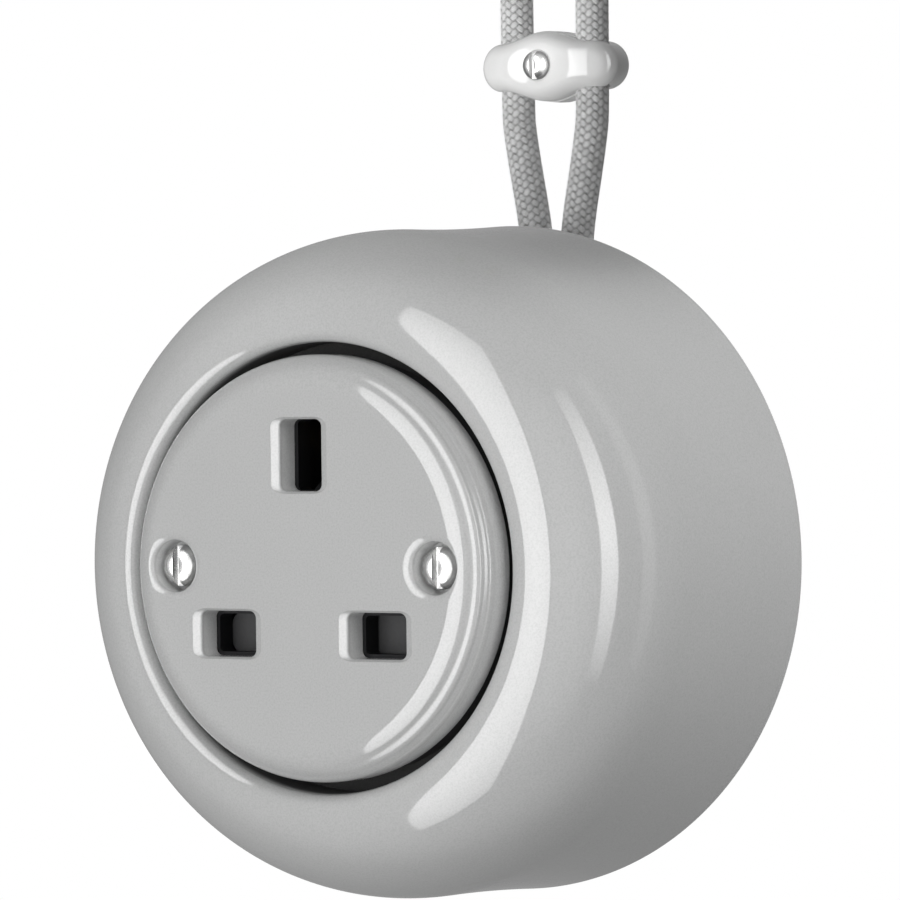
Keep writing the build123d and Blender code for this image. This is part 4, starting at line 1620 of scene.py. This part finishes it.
@dataclass
class Studio:
    """Camera at the photo's angle, soft lights, white surroundings and a pale floor."""

    eye: Triple = (416.99, -650.57, 22.61)
    azimuth: float = 33.729
    pitch: float = -0.638
    roll: float = -0.671
    lens: float = 234.0
    sensor: float = 36.0
    ambient: float = 0.384
    from_above: float = 0.4
    floor_z: float = -0.12
    floor_r: float = 0.5
    floor_fade: Pair = (0.46, 0.18)
    tent_r: float = 2.4
    tent_open: float = 0.6
    tent_grey: Triple = (0.38, 0.03, 0.046)  # plain, growth to the right and upwards
    flag_at: Triple = (0.034, -0.004, 0.082)
    flag_size: Triple = (0.068, 0.08, 1.0)
    lamps: tuple[Lamp, ...] = (
        Lamp("front_box", -1.75, -2.0, 1.5, 1.227, 5.5, 8.3, 140.0, diffuse=False),
        Lamp("side_strip", 86.0, 9.0, 1.5, 0.37, 2.8, 8.9, 90.0, diffuse=False),
        Lamp("rear_strip", 116.5, 12.0, 1.5, 0.26, 2.4, 0.9, 110.0, diffuse=False),
        Lamp("wash", 51.0, 0.0, 1.6, 1.77, 5.5, 1.6, 112.0, diffuse=False),
        Lamp("front_fill", -9.0, -16.0, 1.8, 1.2, 1.2, 4.1, glossy=False),
        Lamp("right_fill", 70.0, 26.0, 1.8, 1.2, 1.2, 2.05, glossy=False),
        Lamp("rear_fill", 138.0, 32.0, 1.8, 1.2, 1.2, 2.7, glossy=False),
        Lamp("clamp_card", -34.0, -6.0, 0.09, 0.05, 0.04, 3.0, 60.0, True, False, (0.0024, -0.006, 0.058)),
    )

    def camera(self) -> None:
        """Stand the camera where the photo was taken from."""
        a, p, r = (math.radians(x) for x in (self.azimuth, self.pitch, self.roll))
        ahead = Vector((-math.sin(a) * math.cos(p), math.cos(a) * math.cos(p), math.sin(p)))
        right = Vector((math.cos(a), math.sin(a), 0))
        up = right.cross(ahead)
        x = math.cos(r) * right + math.sin(r) * up
        y = math.cos(r) * up - math.sin(r) * right
        data = bpy.data.cameras.new("camera")
        data.lens, data.sensor_width = self.lens, self.sensor
        cam = placed("camera", data)
        turn = Matrix((x, y, -ahead)).transposed().to_4x4()
        cam.matrix_world = Matrix.Translation(Vector(self.eye) * MM) @ turn
        bpy.context.scene.camera = cam

    def world(self) -> None:
        """White to the camera and in reflections, a softer grey, darker from below, as light."""
        world = bpy.data.worlds.new("surroundings")
        world.use_nodes = True
        world.node_tree.nodes.clear()
        g = Graph(world.node_tree)
        path = g.add("ShaderNodeLightPath").outputs
        mirrored = g.math("MAXIMUM", path["Is Glossy Ray"], path["Is Transmission Ray"])
        seen = g.math("MAXIMUM", path["Is Camera Ray"], mirrored)
        height = g.part(g.add("ShaderNodeTexCoord").outputs["Generated"], 2)
        light = g.math("MULTIPLY_ADD", height, self.ambient * self.from_above, self.ambient)
        strength = g.between(light, 1.0, seen)
        back = g.add("ShaderNodeBackground", {"Color": (1, 1, 1, 1), "Strength": strength})
        g.add("ShaderNodeOutputWorld", {"Surface": back.outputs[0]})
        bpy.context.scene.world = world

    def floor(self) -> None:
        """A round pale floor that fades out towards its edge."""
        shape = {"vertices": 96, "radius": self.floor_r, "fill_type": "NGON"}
        ground = alone(bpy.ops.mesh.primitive_circle_add, location=(0, 0, self.floor_z), **shape)
        ground.name = "floor"
        g = Paint("pale floor")
        noise = g.add("ShaderNodeTexNoise", {"Vector": g.where, "Scale": 30.0})
        far = g.vector("LENGTH", g.where).outputs["Value"]
        g.set(Base_Color=g.ramp(noise.outputs["Fac"], (0.3, 0.8), (0.7, 0.83)), Roughness=0.9)
        g.set(Alpha=g.mask(far, *self.floor_fade))
        ground.data.materials.append(g.material)
        ground.visible_glossy = ground.visible_diffuse = ground.visible_shadow = False

    def tent(self) -> None:
        """A grey tent behind the object, open towards the camera, that only reflections see."""
        tent = alone(bpy.ops.mesh.primitive_uv_sphere_add, segments=64, ring_count=32, radius=self.tent_r)
        tent.name = "tent"
        a = math.radians(self.azimuth)
        way = Vector((math.sin(a), -math.cos(a), 0))
        bpy.ops.object.mode_set(mode="EDIT")
        bpy.ops.mesh.select_all(action="SELECT")
        bpy.ops.mesh.bisect(plane_co=way * self.tent_open, plane_no=way, clear_outer=True)
        bpy.ops.object.mode_set(mode="OBJECT")
        g = Paint("tent")
        plain, across, up = self.tent_grey
        grey = g.math("MULTIPLY_ADD", g.part(g.where, 0), across, plain)
        grey = g.math("MULTIPLY_ADD", g.part(g.where, 2), up, grey)
        ahead = g.vector("DOT_PRODUCT", g.where, way).outputs["Value"]
        strength = g.between(grey, 1.0, g.mask(ahead, -1.0, self.tent_open, "SMOOTHSTEP"))
        glow = g.add("ShaderNodeEmission", {"Color": (1, 1, 1, 1), "Strength": strength})
        g.feed(g.tree.nodes["Material Output"], "Surface", glow.outputs[0])
        self.hang(tent, g.material)
        tent.visible_diffuse = tent.visible_shadow = False

    def flag(self) -> None:
        """A dark card beside the clamp that keeps the right-hand light off the cables."""
        flag = alone(bpy.ops.mesh.primitive_plane_add, size=1, location=self.flag_at)
        flag.rotation_euler = (0, math.pi / 2, 0)
        flag.scale = self.flag_size
        flag.name = "flag"
        g = Paint("flag")
        g.set(Base_Color=(0.02, 0.02, 0.02, 1))
        self.hang(flag, g.material)
        flag.visible_glossy = False

    def hang(self, card: Piece, mat: bpy.types.Material) -> None:
        """Give a card its material and keep it out of the camera's sight.

        Args:
            card: The card.
            mat: Its material.
        """
        card.data.materials.append(mat)
        card.visible_camera = card.visible_transmission = False

    def build(self) -> None:
        """Set up the whole studio."""
        bpy.context.scene.view_settings.view_transform = "Standard"
        self.camera()
        self.world()
        self.floor()
        self.tent()
        self.flag()
        for lamp in self.lamps:
            lamp.build()


def unmirrored(*names: str) -> None:
    """Keep pieces out of the housing's reflections."""
    for name in names:
        bpy.data.objects[name].visible_glossy = False


def main() -> None:
    """Build every sub-assembly in order, then the studio."""
    logging.basicConfig(level=logging.INFO, format="%(name)s %(message)s")
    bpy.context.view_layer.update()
    wardrobe = Wardrobe()
    for assembly in (Housing(), FaceDisc(), Fixings(), ShutterSpring(), Insides()):
        assembly.build(wardrobe)
    ends = CableEnds().build(wardrobe)
    Clamp().build(wardrobe)
    for name, side in (("left_cable", -1), ("right_cable", 1)):
        Cable(name + "_braided", name, side).build(wardrobe, ends)
        unmirrored(name + "_braided")
    unmirrored("clamp_front_glazed", "clamp_rear_glazed", "clamp_screw_plated")
    unmirrored("end_sleeves_shrunk", "tail_tips_twisted")
    Studio().build()


if __name__ == "__main__":
    main()
